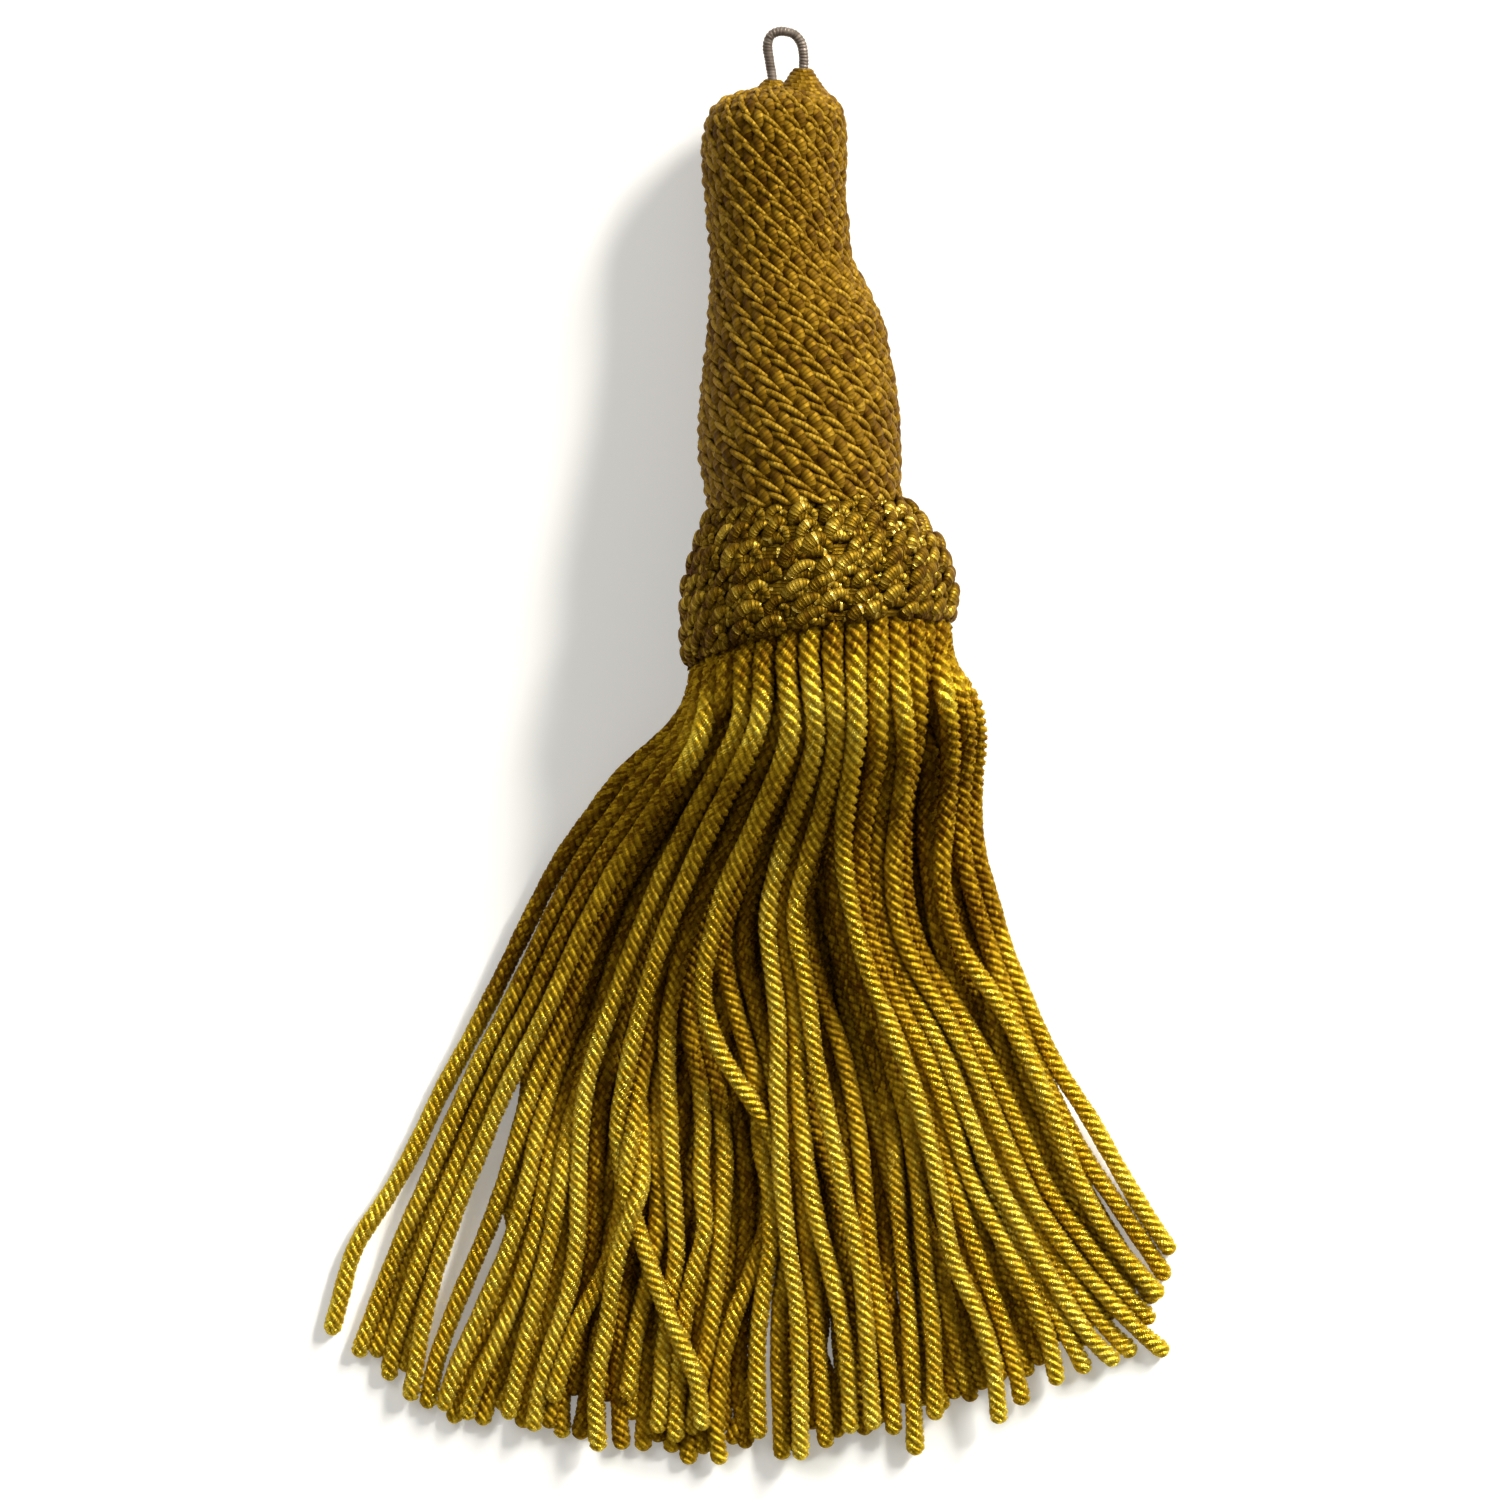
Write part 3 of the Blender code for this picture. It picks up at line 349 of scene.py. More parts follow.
def relax(aims, grip, shown, rounds=240):
    """The cords settle: they keep their lengths, lie on the table and on each other, and give way where they meet."""
    count, n = aims.shape[:2]
    place = aims.copy()
    t = np.linspace(0, 1, n)
    r = np.broadcast_to(radius_at(t) * 0.93, (count, n))
    length = np.linalg.norm(np.diff(aims, axis=1), axis=2)
    owner = np.repeat(np.arange(count), n)
    index = np.tile(np.arange(n), count)
    rr = r.reshape(-1)
    hold = np.where(grip > 0, 0.34 * np.maximum(grip, 1) ** 0.5, 0.012)[:, None]
    hold_z = np.where(grip > 0, 0.14, 0.0)[:, None] * np.ones(n)
    cover = cover_height(aims, grip)
    under = grip == 0
    free_run = smooth((t - 0.1) / 0.08)
    weight = np.where(grip > 0, 0.5 / np.maximum(grip, 1), 1.5)[:, None] * np.ones(n)
    wflat = weight.reshape(-1)
    bend = np.zeros_like(aims)
    bend[:, 1:-1] = aims[:, 2:] + aims[:, :-2] - 2 * aims[:, 1:-1]
    u = np.clip((aims[:, :, 0] - flow(0.0, t)[:, 0]) / (flow(1.0, t)[:, 0] - flow(0.0, t)[:, 0]), 0.02, 0.98)
    ceiling = top_height(u, t) + 0.35
    pairs = None
    for k in range(rounds):
        fade = 1.0 if k < rounds * 0.75 else 0.7
        place[:, :, 2] -= 0.035 * fade * smooth(t / 0.15)
        place[:, :, :2] += (hold * fade)[:, :, None] * (aims - place)[:, :, :2]
        place[:, :, 2] += hold_z * fade * (aims - place)[:, :, 2]
        for _ in range(2):
            lap = place[:, 2:] + place[:, :-2] - 2 * place[:, 1:-1]
            place[:, 1:-1] += 0.22 * (lap - 0.85 * bend[:, 1:-1])
        for _ in range(3):
            for odd in (0, 1):
                a, b = place[:, odd:-1:2], place[:, odd + 1 :: 2]
                m = min(a.shape[1], b.shape[1])
                a, b = a[:, :m], b[:, :m]
                d = b - a
                size = np.linalg.norm(d, axis=2, keepdims=True)
                fix = d * (1 - length[:, odd::2][:, :m, None] / np.maximum(size, 1e-6)) * 0.5
                place[:, odd:-1:2][:, :m] += fix
                place[:, odd + 1 :: 2][:, :m] -= fix
        flat = place.reshape(-1, 3)
        if k % 5 == 0:
            pairs = neighbours(flat, owner, index, 2.35)
        for _ in range(2):
            i, j = pairs
            d = flat[j] - flat[i]
            size = np.linalg.norm(d, axis=1)
            need = rr[i] + rr[j]
            hit = size < need
            i, j, d, size, need = i[hit], j[hit], d[hit], np.maximum(size[hit], 1e-3), need[hit]
            push = d / size[:, None] * (need - size)[:, None]
            share = wflat[i] / (wflat[i] + wflat[j])
            for axis in range(3):
                move = np.bincount(i, -push[:, axis] * share, len(flat)) + np.bincount(j, push[:, axis] * (1 - share), len(flat))
                touching = np.bincount(i, minlength=len(flat)) + np.bincount(j, minlength=len(flat))
                flat[:, axis] += 0.9 * move / np.maximum(1.0, 0.55 * touching)
        place = flat.reshape(count, n, 3)
        place[:, :, 2] = np.clip(place[:, :, 2], r, np.maximum(ceiling - r, r))
        hidden = place[under]
        limit = np.maximum(look_up(cover, hidden) - 1.05, r[under])
        hidden[:, :, 2] += (np.minimum(hidden[:, :, 2], limit) - hidden[:, :, 2]) * free_run * 0.6
        left, right = side_limits(hidden[:, :, 1], shown)
        hidden[:, :, 0] += (np.clip(hidden[:, :, 0], left, right) - hidden[:, :, 0]) * smooth((t - 0.04) / 0.06) * 0.6
        place[under] = hidden
        # the root stays in the collar's mouth, on its plane
        X = (place[:, 0, 0] - (ROOT_X - MIDDLE[0])) / (ROOT_W - 0.95)
        Z = (place[:, 0, 2] - ROOT_Z) / (ROOT_H - 0.95)
        out = np.maximum(1.0, np.hypot(X, Z))
        place[:, 0, 0] = ROOT_X - MIDDLE[0] + X / out * (ROOT_W - 0.95)
        place[:, 0, 2] = ROOT_Z + Z / out * (ROOT_H - 0.95)
        place[:, 0, 1] = ROOT_Y - MIDDLE[1] + (place[:, 0, 0] - ROOT_X + MIDDLE[0]) * math.tan(ROOT_TILT)
    for _ in range(2):
        place[:, 1:-1] = 0.5 * place[:, 1:-1] + 0.25 * (place[:, 2:] + place[:, :-2])
    place[:, :, 2] = np.maximum(place[:, :, 2], r)
    return place


# ---- meshes ------------------------------------------------------------------------------------------------------------
def make_mesh(name, verts, faces, uvs, materials, face_material=None, marks=None):
    """verts in mm; faces a list of index arrays (quads or triangles); uvs {layer: list of per-corner arrays}."""
    mesh = bpy.data.meshes.new(name)
    mesh.vertices.add(len(verts))
    mesh.vertices.foreach_set("co", (np.asarray(verts, np.float32) * MM).reshape(-1))
    loops = np.concatenate([f.reshape(-1) for f in faces]).astype(np.int32)
    totals = np.concatenate([np.full(len(f), f.shape[1]) for f in faces]).astype(np.int32)
    starts = np.concatenate([[0], np.cumsum(totals)[:-1]]).astype(np.int32)
    mesh.loops.add(len(loops))
    mesh.loops.foreach_set("vertex_index", loops)
    mesh.polygons.add(len(totals))
    mesh.polygons.foreach_set("loop_start", starts)
    mesh.polygons.foreach_set("loop_total", totals)
    if face_material is not None:
        mesh.polygons.foreach_set("material_index", np.concatenate(face_material).astype(np.int32))
    for layer, parts in uvs.items():
        made = mesh.uv_layers.new(name=layer)
        made.data.foreach_set("uv", np.concatenate([p.reshape(-1, 2) for p in parts]).astype(np.float32).reshape(-1))
    for m in materials:
        mesh.materials.append(m)
    mesh.update(calc_edges=True)
    if marks is not None:
        for key, values in marks.items():
            made = mesh.attributes.new(key, "FLOAT", "POINT")
            made.data.foreach_set("value", np.asarray(values, np.float32))
    mesh.shade_smooth()
    obj = bpy.data.objects.new(name, mesh)
    bpy.context.scene.collection.objects.link(obj)
    return obj


# One ply's outline between its two creases: angle from its crest in degrees, share of the cord's radius
PLY = ((-45.0, 0.69), (-17.0, 0.98), (17.0, 0.98))
PLIES = 4
TURN = 30.0  # degrees of twist between two rings of the mesh


def t_at(at, s, t):
    return np.interp(at, s, t)


def depth_below(laid):
    """How far each point of each cord lies under the highest one around it, in mm."""
    cell = np.clip(((laid[..., :2] - GRID_LOW) / GRID_STEP).astype(int), 0, np.array(GRID_SIZE) - 1)
    grid = np.zeros(GRID_SIZE)
    np.maximum.at(grid, (cell[..., 0], cell[..., 1]), laid[..., 2])
    for axis in (0, 1):
        wide = grid.copy()
        for step in range(1, 5):
            for way in (step, -step):
                wide = np.maximum(wide, np.roll(grid, way, axis))
        grid = wide
    return grid[cell[..., 0], cell[..., 1]] - laid[..., 2]


def cord_mesh(name, lines, tones, material, rings_factor=1.0):
    """A joined mesh of four-ply cords. Rings follow the twist, so each ply is a ridge of its own."""
    sides = PLIES * len(PLY)
    angle = np.radians([p * 360.0 / PLIES + a for p in range(PLIES) for a, _ in PLY])
    share = np.array([s for _ in range(PLIES) for _, s in PLY])
    delta = np.array([a for a, _ in PLY] + [45.0])
    verts, quads, tris, quad_uv, tri_uv, quad_bake, tri_bake, tone = [], [], [], [], [], [], [], []
    base = 0
    for c, (line, t_line) in enumerate(lines):
        walked = np.concatenate([[0], np.cumsum(np.linalg.norm(np.diff(line, axis=0), axis=1))])
        total = walked[-1]
        s = np.linspace(0, total, 700)
        t = np.interp(s, walked, t_line)
        size = radius_at(t) / 0.79
        pitch = 3.0 * size**1.7
        phase = np.concatenate([[0], np.cumsum(np.diff(s) * 0.5 * (2 * math.pi / pitch[1:] + 2 * math.pi / pitch[:-1]))])
        rings = max(8, int(round(phase[-1] / math.radians(TURN) * rings_factor)))
        at_phase = np.linspace(0, phase[-1], rings)
        at = np.interp(at_phase, phase, s)
        # the end rounds off over its last stretch, with closer rings
        cap = np.array([0.30, 0.55, 0.75, 0.90, 0.975])
        keep = at < total - 0.80
        at = np.concatenate([at[keep], total - 0.78 * (1 - cap)])
        at_phase = np.interp(at, s, phase)
        rings = len(at)
        centre = curve(walked, line, at)
        ahead = curve(walked, line, np.minimum(at + 0.15, total)) - curve(walked, line, np.maximum(at - 0.15, 0))
        tangent = ahead / np.linalg.norm(ahead, axis=1, keepdims=True)
        right = np.array([1.0, 0, 0]) - tangent * tangent[:, :1]
        right /= np.linalg.norm(right, axis=1, keepdims=True)
        up = np.cross(tangent, right)
        radius = np.interp(at, s, size) * 0.79
        left = np.clip((total - at) / 0.78, 0, 1)
        radius = radius * np.sqrt(np.maximum(0.02, 1 - (1 - left) ** 2)) * (1 + 0.06 * np.exp(-(((total - at) - 0.9) / 0.6) ** 2))
        wobble = 1 + 0.03 * np.sin(at * 0.9 + c * 2.1) + 0.02 * np.sin(at * 2.3 + c)
        radius = radius * wobble
        start_phase = c * 1.7
        turn = at_phase[:, None] + start_phase + angle[None]
        reach = radius[:, None] * share[None]
        ring = centre[:, None] + (np.cos(turn) * reach)[:, :, None] * up[:, None] + (np.sin(turn) * reach)[:, :, None] * right[:, None]
        ring[:, :, 2] = np.maximum(ring[:, :, 2], 0.02)
        tip = centre[-1] + tangent[-1] * 0.02
        verts.append(ring.reshape(-1, 3))
        verts.append(np.array([centre[0], tip]))
        # each ring takes its cord's tone, the painted shade laid on in the build included
        tone_and_painted_light = np.interp(t_at(at, s, t), t_line, tones[c])
        tone.append(np.concatenate([np.repeat(tone_and_painted_light, sides), tone_and_painted_light[[0, -1]]]))
        i = np.arange(rings - 1)[:, None] * sides
        j = np.arange(sides)[None]
        k = (j + 1) % sides
        quad = np.stack([base + i + j, base + i + sides + j, base + i + sides + k, base + i + k], 2).reshape(-1, 4)
        quads.append(quad)
        # along the ply in wraps, and across it from crease to crease
        slope = np.arctan(2 * math.pi * radius / np.interp(at, s, pitch))
        slope = np.interp(at, at[: max(2, rings - 6)], slope[: max(2, rings - 6)])
        along = np.concatenate([[0], np.cumsum(np.diff(at) / np.cos(0.5 * (slope[1:] + slope[:-1])))])
        lean = radius * np.sin(slope)
        part = np.arange(sides) % len(PLY)
        ply = np.arange(sides) // len(PLY)
        d0, d1 = delta[part], delta[part + 1]
        def uv(row, d):
            x = (along[row][:, None] + lean[row][:, None] * np.radians(d)[None]) / 0.235 + c * 37.0 + ply[None] * 11.3
            y = np.broadcast_to((d / 90.0 + 0.5)[None] + 2.0 * ply[None] + 8.0 * c, x.shape)
            return np.stack([x, y], 2)
        rows = np.arange(rings - 1)
        quad_uv.append(np.stack([uv(rows, d0), uv(rows + 1, d0), uv(rows + 1, d1), uv(rows, d1)], 2).reshape(-1, 4, 2))
        x0 = (c + 0.04 + 0.92 * np.arange(sides) / sides) / len(lines)
        x1 = (c + 0.04 + 0.92 * (np.arange(sides) + 1) / sides) / len(lines)
        y = at / 80.0
        def bake(row, x):
            return np.stack([np.broadcast_to(x[None], (len(row), sides)), np.broadcast_to(y[row][:, None], (len(row), sides))], 2)
        quad_bake.append(np.stack([bake(rows, x0), bake(rows + 1, x0), bake(rows + 1, x1), bake(rows, x1)], 2).reshape(-1, 4, 2))
        last = base + (rings - 1) * sides
        centre0, centre1 = base + rings * sides, base + rings * sides + 1
        jj, kk = np.arange(sides), (np.arange(sides) + 1) % sides
        tris.append(np.stack([last + jj, np.full(sides, centre1), last + kk], 1))
        tris.append(np.stack([base + kk, np.full(sides, centre0), base + jj], 1))
        for row, flip in ((rings - 1, False), (0, True)):
            a, b = uv(np.array([row]), d0)[0], uv(np.array([row]), d1)[0]
            m = (a + b) / 2
            p, q = bake(np.array([row]), x0)[0], bake(np.array([row]), x1)[0]
            o = (p + q) / 2 + np.array([0, 0.002 if row else -0.002])
            tri_uv.append(np.stack([b, m, a] if flip else [a, m, b], 1))
            tri_bake.append(np.stack([q, o, p] if flip else [p, o, q], 1))
        base += rings * sides + 2
    quads, tris = np.concatenate(quads), np.concatenate(tris)
    return make_mesh(
        name,
        np.concatenate(verts),
        [quads, tris],
        {"Thread": [np.concatenate(quad_uv), np.concatenate(tri_uv)], "OFBake": [np.concatenate(quad_bake), np.concatenate(tri_bake)]},
        [material],
        marks={"tone": np.concatenate(tone)},
    )


def tube_parts(paths, facing, wide, thick, sides, pitch, tones, floor=0.02):
    """Many yarn stretches at once. paths (M, K, 3); facing (M, K, 3) is away from the surface; wide and thick (M, K) are
    the section's half width and half thickness. Returns vertices, faces and thread coordinates of closed tubes."""
    paths, facing = np.asarray(paths, float), np.asarray(facing, float)
    m, k = paths.shape[:2]
    tangent = np.gradient(paths, axis=1)
    tangent /= np.maximum(np.linalg.norm(tangent, axis=2, keepdims=True), 1e-9)
    side = np.cross(tangent, facing)
    side /= np.maximum(np.linalg.norm(side, axis=2, keepdims=True), 1e-9)
    up = np.cross(side, tangent)
    a = 2 * math.pi * np.arange(sides) / sides
    ring = (
        paths[:, :, None]
        + (wide[:, :, None] * np.cos(a))[..., None] * side[:, :, None]
        + (thick[:, :, None] * np.sin(a))[..., None] * up[:, :, None]
    )
    ring[..., 2] = np.maximum(ring[..., 2], floor)
    ends = np.stack([paths[:, 0], paths[:, -1]], 1)
    ends[..., 2] = np.maximum(ends[..., 2], floor)
    per = k * sides + 2
    verts = np.concatenate([ring.reshape(m, -1, 3), ends], 1).reshape(-1, 3)
    i = np.arange(k - 1)[:, None] * sides
    j = np.arange(sides)[None]
    n = (j + 1) % sides
    one = np.stack([i + j, i + n, i + sides + n, i + sides + j], 2).reshape(-1, 4)
    quads = (one[None] + per * np.arange(m)[:, None, None]).reshape(-1, 4)
    jj, nn = np.arange(sides), (np.arange(sides) + 1) % sides
    cap = np.concatenate([
        np.stack([nn, jj, np.full(sides, k * sides)], 1),
        np.stack([(k - 1) * sides + jj, (k - 1) * sides + nn, np.full(sides, k * sides + 1)], 1),
    ])
    tris = (cap[None] + per * np.arange(m)[:, None, None]).reshape(-1, 3)
    walked = np.concatenate([np.zeros((m, 1)), np.cumsum(np.linalg.norm(np.diff(paths, axis=1), axis=2), axis=1)], 1)
    shift = (np.arange(m) * 5.37)[:, None]
    x = walked / pitch + shift
    def uv(rows, turns):
        u = x[:, rows][:, :, None] + np.broadcast_to(turns, (m, len(rows), sides)) * 0.0
        v = np.broadcast_to(turns[None, None], (m, len(rows), sides))
        return np.stack([u, v + 0 * u], 3)
    rows = np.arange(k - 1)
    f0, f1 = jj / sides, (jj + 1) / sides
    quad_uv = np.stack([uv(rows, f0), uv(rows, f1), uv(rows + 1, f1), uv(rows + 1, f0)], 3).reshape(-1, 4, 2)
    e0, e1, g0, g1 = uv([0], f0)[:, 0], uv([0], f1)[:, 0], uv([k - 1], f0)[:, 0], uv([k - 1], f1)[:, 0]
    tri_uv = np.concatenate([np.stack([e1, e0, (e0 + e1) / 2], 2), np.stack([g0, g1, (g0 + g1) / 2], 2)], 1).reshape(-1, 3, 2)
    tone = np.repeat(tones, per)
    return verts, quads, tris, quad_uv, tri_uv, tone


def join_parts(parts):
    """Several results of tube_parts as one."""
    base, out = 0, [[], [], [], [], [], []]
    for verts, quads, tris, quad_uv, tri_uv, tone in parts:
        for bag, item in zip(out, (verts, quads + base, tris + base, quad_uv, tri_uv, tone)):
            bag.append(item)
        base += len(verts)
    return [np.concatenate(bag) for bag in out]


# ---- neck ---------------------------------------------------------------------------------------------------------------
# From its tip down. y: along the table, x: centre, w: half width, h: half height, tilt: the section's turn in plan
NECK = np.array([
    (55.5, 3.2, 1.0, 1.0, 0.0),
    (55.1, 3.0, 3.1, 2.9, 0.0),
    (54.7, 2.8, 4.2, 4.0, 0.0),
    (54.1, 2.5, 5.1, 4.9, 0.0),
    (53.3, 2.4, 5.6, 5.5, 0.0),
    (52.4, 2.3, 5.9, 5.85, 0.0),
    (50.0, 2.2, 6.1, 6.0, 0.0),
    (48.0, 2.2, 6.05, 6.0, 0.0),
    (45.8, 2.3, 5.95, 5.9, 0.0),
    (41.6, 2.7, 5.95, 5.9, 0.5),
    (39.5, 3.1, 6.3, 6.2, 1.0),
    (37.4, 3.6, 6.9, 6.8, 1.5),
    (35.3, 3.95, 7.4, 7.3, 2.0),
    (33.2, 4.05, 7.7, 7.6, 2.0),
    (29.1, 4.2, 8.25, 8.1, 2.5),
    (25.0, 4.3, 8.4, 8.2, 2.5),
    (22.4, 4.5, 8.2, 8.0, 3.0),
    (20.4, 4.75, 8.05, 7.85, 3.0),
])
# Collar, from the neck down to its rim. z: height of the section's centre
COLLAR = np.array([
    (20.9, 4.70, 7.8, 7.6, 9.3, 3.0),
    (20.3, 4.80, 8.5, 8.2, 9.3, 3.2),
    (19.6, 4.95, 9.1, 8.6, 9.35, 3.6),
    (18.7, 5.1, 9.6, 8.9, 9.4, 4.0),
    (16.6, 5.4, 10.7, 9.5, 9.5, 5.0),
    (14.5, 5.55, 11.35, 9.8, 9.55, 6.0),
    (12.4, 5.7, 11.6, 9.9, 9.6, 7.0),
    (10.4, 5.8, 11.7, 9.9, 9.6, 8.0),
    (9.1, 5.9, 11.5, 9.8, 9.5, 9.0),
    (8.3, 5.95, 11.1, 9.4, 9.4, 9.0),
])


class Body:
    """A hitched body as a surface over angle (0 to the right, 90 degrees up) and distance along its side."""

    def __init__(self, table, heights, raised=0.0):
        y, x, w, h, tilt = table
        self.raised = raised  # how much higher the lower edge sits on the upper side than at the table
        self.s = np.concatenate([[0], np.cumsum(np.hypot(np.diff(y), np.diff((w + h) / 2)))])
        self.rows = np.column_stack([y, x, w, h, tilt, heights])
        self.length = self.s[-1]

    def at(self, a, s, lift=0.0):
        """Point at angle a and distance s, lifted off the surface towards its own outside."""
        a, s = np.broadcast_arrays(np.asarray(a, float), np.asarray(s, float))
        if self.raised:
            s = s + self.raised * np.maximum(0.0, np.sin(a)) ** 0.7 * np.clip(1 - s / self.length, 0, 1) ** 2
        row = curve(self.s, self.rows, np.clip(s, 0, self.length))
        y, x, w, h, tilt, z = [row[..., k] for k in range(6)]
        across = w * np.cos(a)
        point = np.stack([x + across - MIDDLE[0], y + across * np.tan(np.radians(tilt)) - MIDDLE[1], z + h * np.sin(a)], -1)
        if np.any(lift):
            point = point + self.out(a, s) * np.asarray(lift, float)[..., None]
        return point

    def out(self, a, s):
        e = 0.01
        da = self.at(a + e, s) - self.at(a - e, s)
        lo, hi = np.clip(s - 0.05, 0, self.length), np.clip(s + 0.05, 0, self.length)
        ds = self.at(a, hi) - self.at(a, lo)
        n = np.cross(ds, da)
        n /= np.maximum(np.linalg.norm(n, axis=-1, keepdims=True), 1e-9)
        middle = curve(self.s, self.rows, np.clip(s, 0, self.length))
        outward = self.at(a, s) - np.stack([middle[..., 1] - MIDDLE[0], middle[..., 0] - 6.0 - MIDDLE[1], middle[..., 5]], -1)
        return np.where(np.sum(n * outward, -1, keepdims=True) < 0, -n, n)

    def size(self, s):
        row = curve(self.s, self.rows, np.clip(s, 0, self.length))
        return (row[..., 2] + row[..., 3]) / 2

    def shell(self, lift, sides, rows, first=0.0, last=None):
        """A closed surface just under the stitches."""
        s = np.linspace(first, self.length if last is None else last, rows)
        a = 2 * math.pi * np.arange(sides) / sides
        ring = self.at(a[None], s[:, None], np.full((rows, sides), lift))
        ring[..., 2] = np.maximum(ring[..., 2], 0.12)
        ends = np.stack([ring[0].mean(0), ring[-1].mean(0)])
        verts = np.concatenate([ring.reshape(-1, 3), ends])
        i = np.arange(rows - 1)[:, None] * sides
        j = np.arange(sides)[None]
        n = (j + 1) % sides
        quads = np.stack([i + j, i + n, i + sides + n, i + sides + j], 2).reshape(-1, 4)
        jj, nn = np.arange(sides), (np.arange(sides) + 1) % sides
        tris = np.concatenate([np.stack([nn, jj, np.full(sides, rows * sides)], 1),
                               np.stack([(rows - 1) * sides + jj, (rows - 1) * sides + nn, np.full(sides, rows * sides + 1)], 1)])
        quad_uv = np.stack([np.stack([verts[q, 1] / 0.3, verts[q, 0] / 0.3], 1) for q in quads.T], 1)
        tri_uv = np.stack([np.stack([verts[q, 1] / 0.3, verts[q, 0] / 0.3], 1) for q in tris.T], 1)
        # the shell is painted dark, tone 0.2: painted shade in the gaps between the stitches
        return verts, quads, tris, quad_uv, tri_uv, np.full(len(verts), 0.2)


def neck_height(y):
    return 5.7 + np.maximum(0.0, 50.0 - y) * 0.123


def neck_body():
    y, x, w, h, tilt = NECK[::-1].T  # from the collar up to the tip
    return Body((y, x, w, h, tilt), neck_height(y))


WALES = 20
LOOP_Z = 5.9


def make_neck(material, core):
    body = neck_body()
    step, sway = 1.22, 1.05
    stitches = []
    s, turned = -0.3, 0.0
    while s < body.length - 0.5:
        r = float(body.size(np.array(max(s, 0.0))))
        for i in range(WALES):
            stitches.append((math.radians(7) + 2 * math.pi * i / WALES + turned, s, r))
        s += step * min(1.0, max(0.55, r / 4.0))
        turned += min(sway / max(r, 0.5), 0.30)
    a0, s0, r0 = np.array(stitches).T
    m = len(a0)
    jitter = rng.normal(0, 1, (m, 4))
    scale = np.clip(2 * math.pi * r0 / WALES / 2.58, 0.28, 1.02)
    calm = smooth((np.cos(a0) + 0.25) / 0.9)[:, None]  # pulled tighter, so flatter, down the right side
    parts = []
    # the round arm, from under the stitches above down to the stitch's point
    for kind in ("leaf", "bar"):
        k = 8 if kind == "leaf" else 9
        q = np.linspace(0, 1, k)[None]
        if kind == "leaf":
            knots = np.linspace(0, 1, 5)
            shape = curve(knots, np.array([(-0.80, 2.15), (-0.42, 1.65), (-0.06, 1.05), (0.08, 0.48), (0.02, -0.02)]), q[0])
            dx = shape[None, :, 0] * scale[:, None] + 0.05 * jitter[:, :1]
            ds = shape[None, :, 1] + 0.05 * jitter[:, 1:2]
            lift = -0.78 - 0.06 * calm + 0.50 * np.sin(np.pi * np.clip(q * 0.90 + 0.05, 0, 1)) ** 0.7 + 0.04 * jitter[:, 2:3]
            wide = (0.30 + 0.26 * np.sin(np.pi * np.clip(q, 0.02, 0.98)) ** 0.6) * (0.30 + 0.70 * scale[:, None])
            thick = wide * 0.70
        else:
            dx = (-2.50 + 2.57 * q) * scale[:, None] + 0.05 * jitter[:, :1]
            ds = 1.46 * (1 - q) - 0.06 + (0.10 + 0.04 * jitter[:, 2:3]) * np.sin(np.pi * q) + 0.05 * jitter[:, 1:2]
            lift = -0.70 - 0.20 * calm + 0.62 * np.sin(np.pi * np.clip(q * 0.92 + 0.02, 0, 1)) ** 0.55 + 0.03 * jitter[:, 3:4]
            wide = (0.19 + 0.09 * np.sin(np.pi * np.clip(q, 0.02, 0.98)) ** 0.5) * (0.35 + 0.65 * scale[:, None])
            thick = wide * 1.05
        a = a0[:, None] - dx / np.maximum(r0, 0.8)[:, None] + 0 * q
        s = np.clip(s0[:, None] + ds + 0 * dx, 0, body.length - 0.02)
        path = body.at(a, s, lift + 0 * a)
        facing = body.out(a, s)
        # painted light: the leaf arms are painted darker and the bar arms lighter, one yarn in painted shade and
        # painted highlight
        tone_and_painted_light = np.clip((0.24 if kind == "leaf" else 0.74) + 0.13 * rng.normal(0, 1, m), 0, 1)
        parts.append(tube_parts(path, facing, wide + 0 * a, thick + 0 * a, 8, 0.30, tone_and_painted_light))
    # the cover climbs the loop's legs in close turns
    for foot_x, low, high, base, narrow in ((1.95, 54.5, 55.75, 1.7, 0.62), (4.45, 54.2, 56.75, 2.5, 0.62)):
        turns = (high - low) / 0.42 + 1.5
        q = np.linspace(0, 1, int(turns * 16))
        wind = 2 * math.pi * turns * q + 0.6
        rad = base + (narrow - base) * q**0.75
        y = low + (high - low) * q
        path = np.stack([foot_x - MIDDLE[0] + rad * np.cos(wind), y - MIDDLE[1] + 0.05 * np.sin(3 * wind), LOOP_Z + rad * np.sin(wind)], 1)
        facing = np.stack([np.cos(wind), 0.6 + 0 * wind, np.sin(wind)], 1)
        facing /= np.linalg.norm(facing, axis=1, keepdims=True)
        width = (0.36 - 0.10 * q) * np.minimum(1, (1 - q) * 14 + 0.35)
        parts.append(tube_parts(path[None], facing[None], width[None], width[None], 8, 0.30, np.array([0.45])))
    verts, quads, tris, quad_uv, tri_uv, tone = join_parts([*parts, body.shell(-0.40, 48, 60)])
    return make_mesh("neck_stitches", verts, [quads, tris], {"Thread": [quad_uv, tri_uv]}, [material], marks={"tone": tone}), body


# ---- collar ---------------------------------------------------------------------------------------------------------------
def collar_body():
    y, x, w, h, z, tilt = COLLAR[::-1].T  # from the rim up to the neck
    return Body((y, x, w, h, tilt), z, raised=2.2)


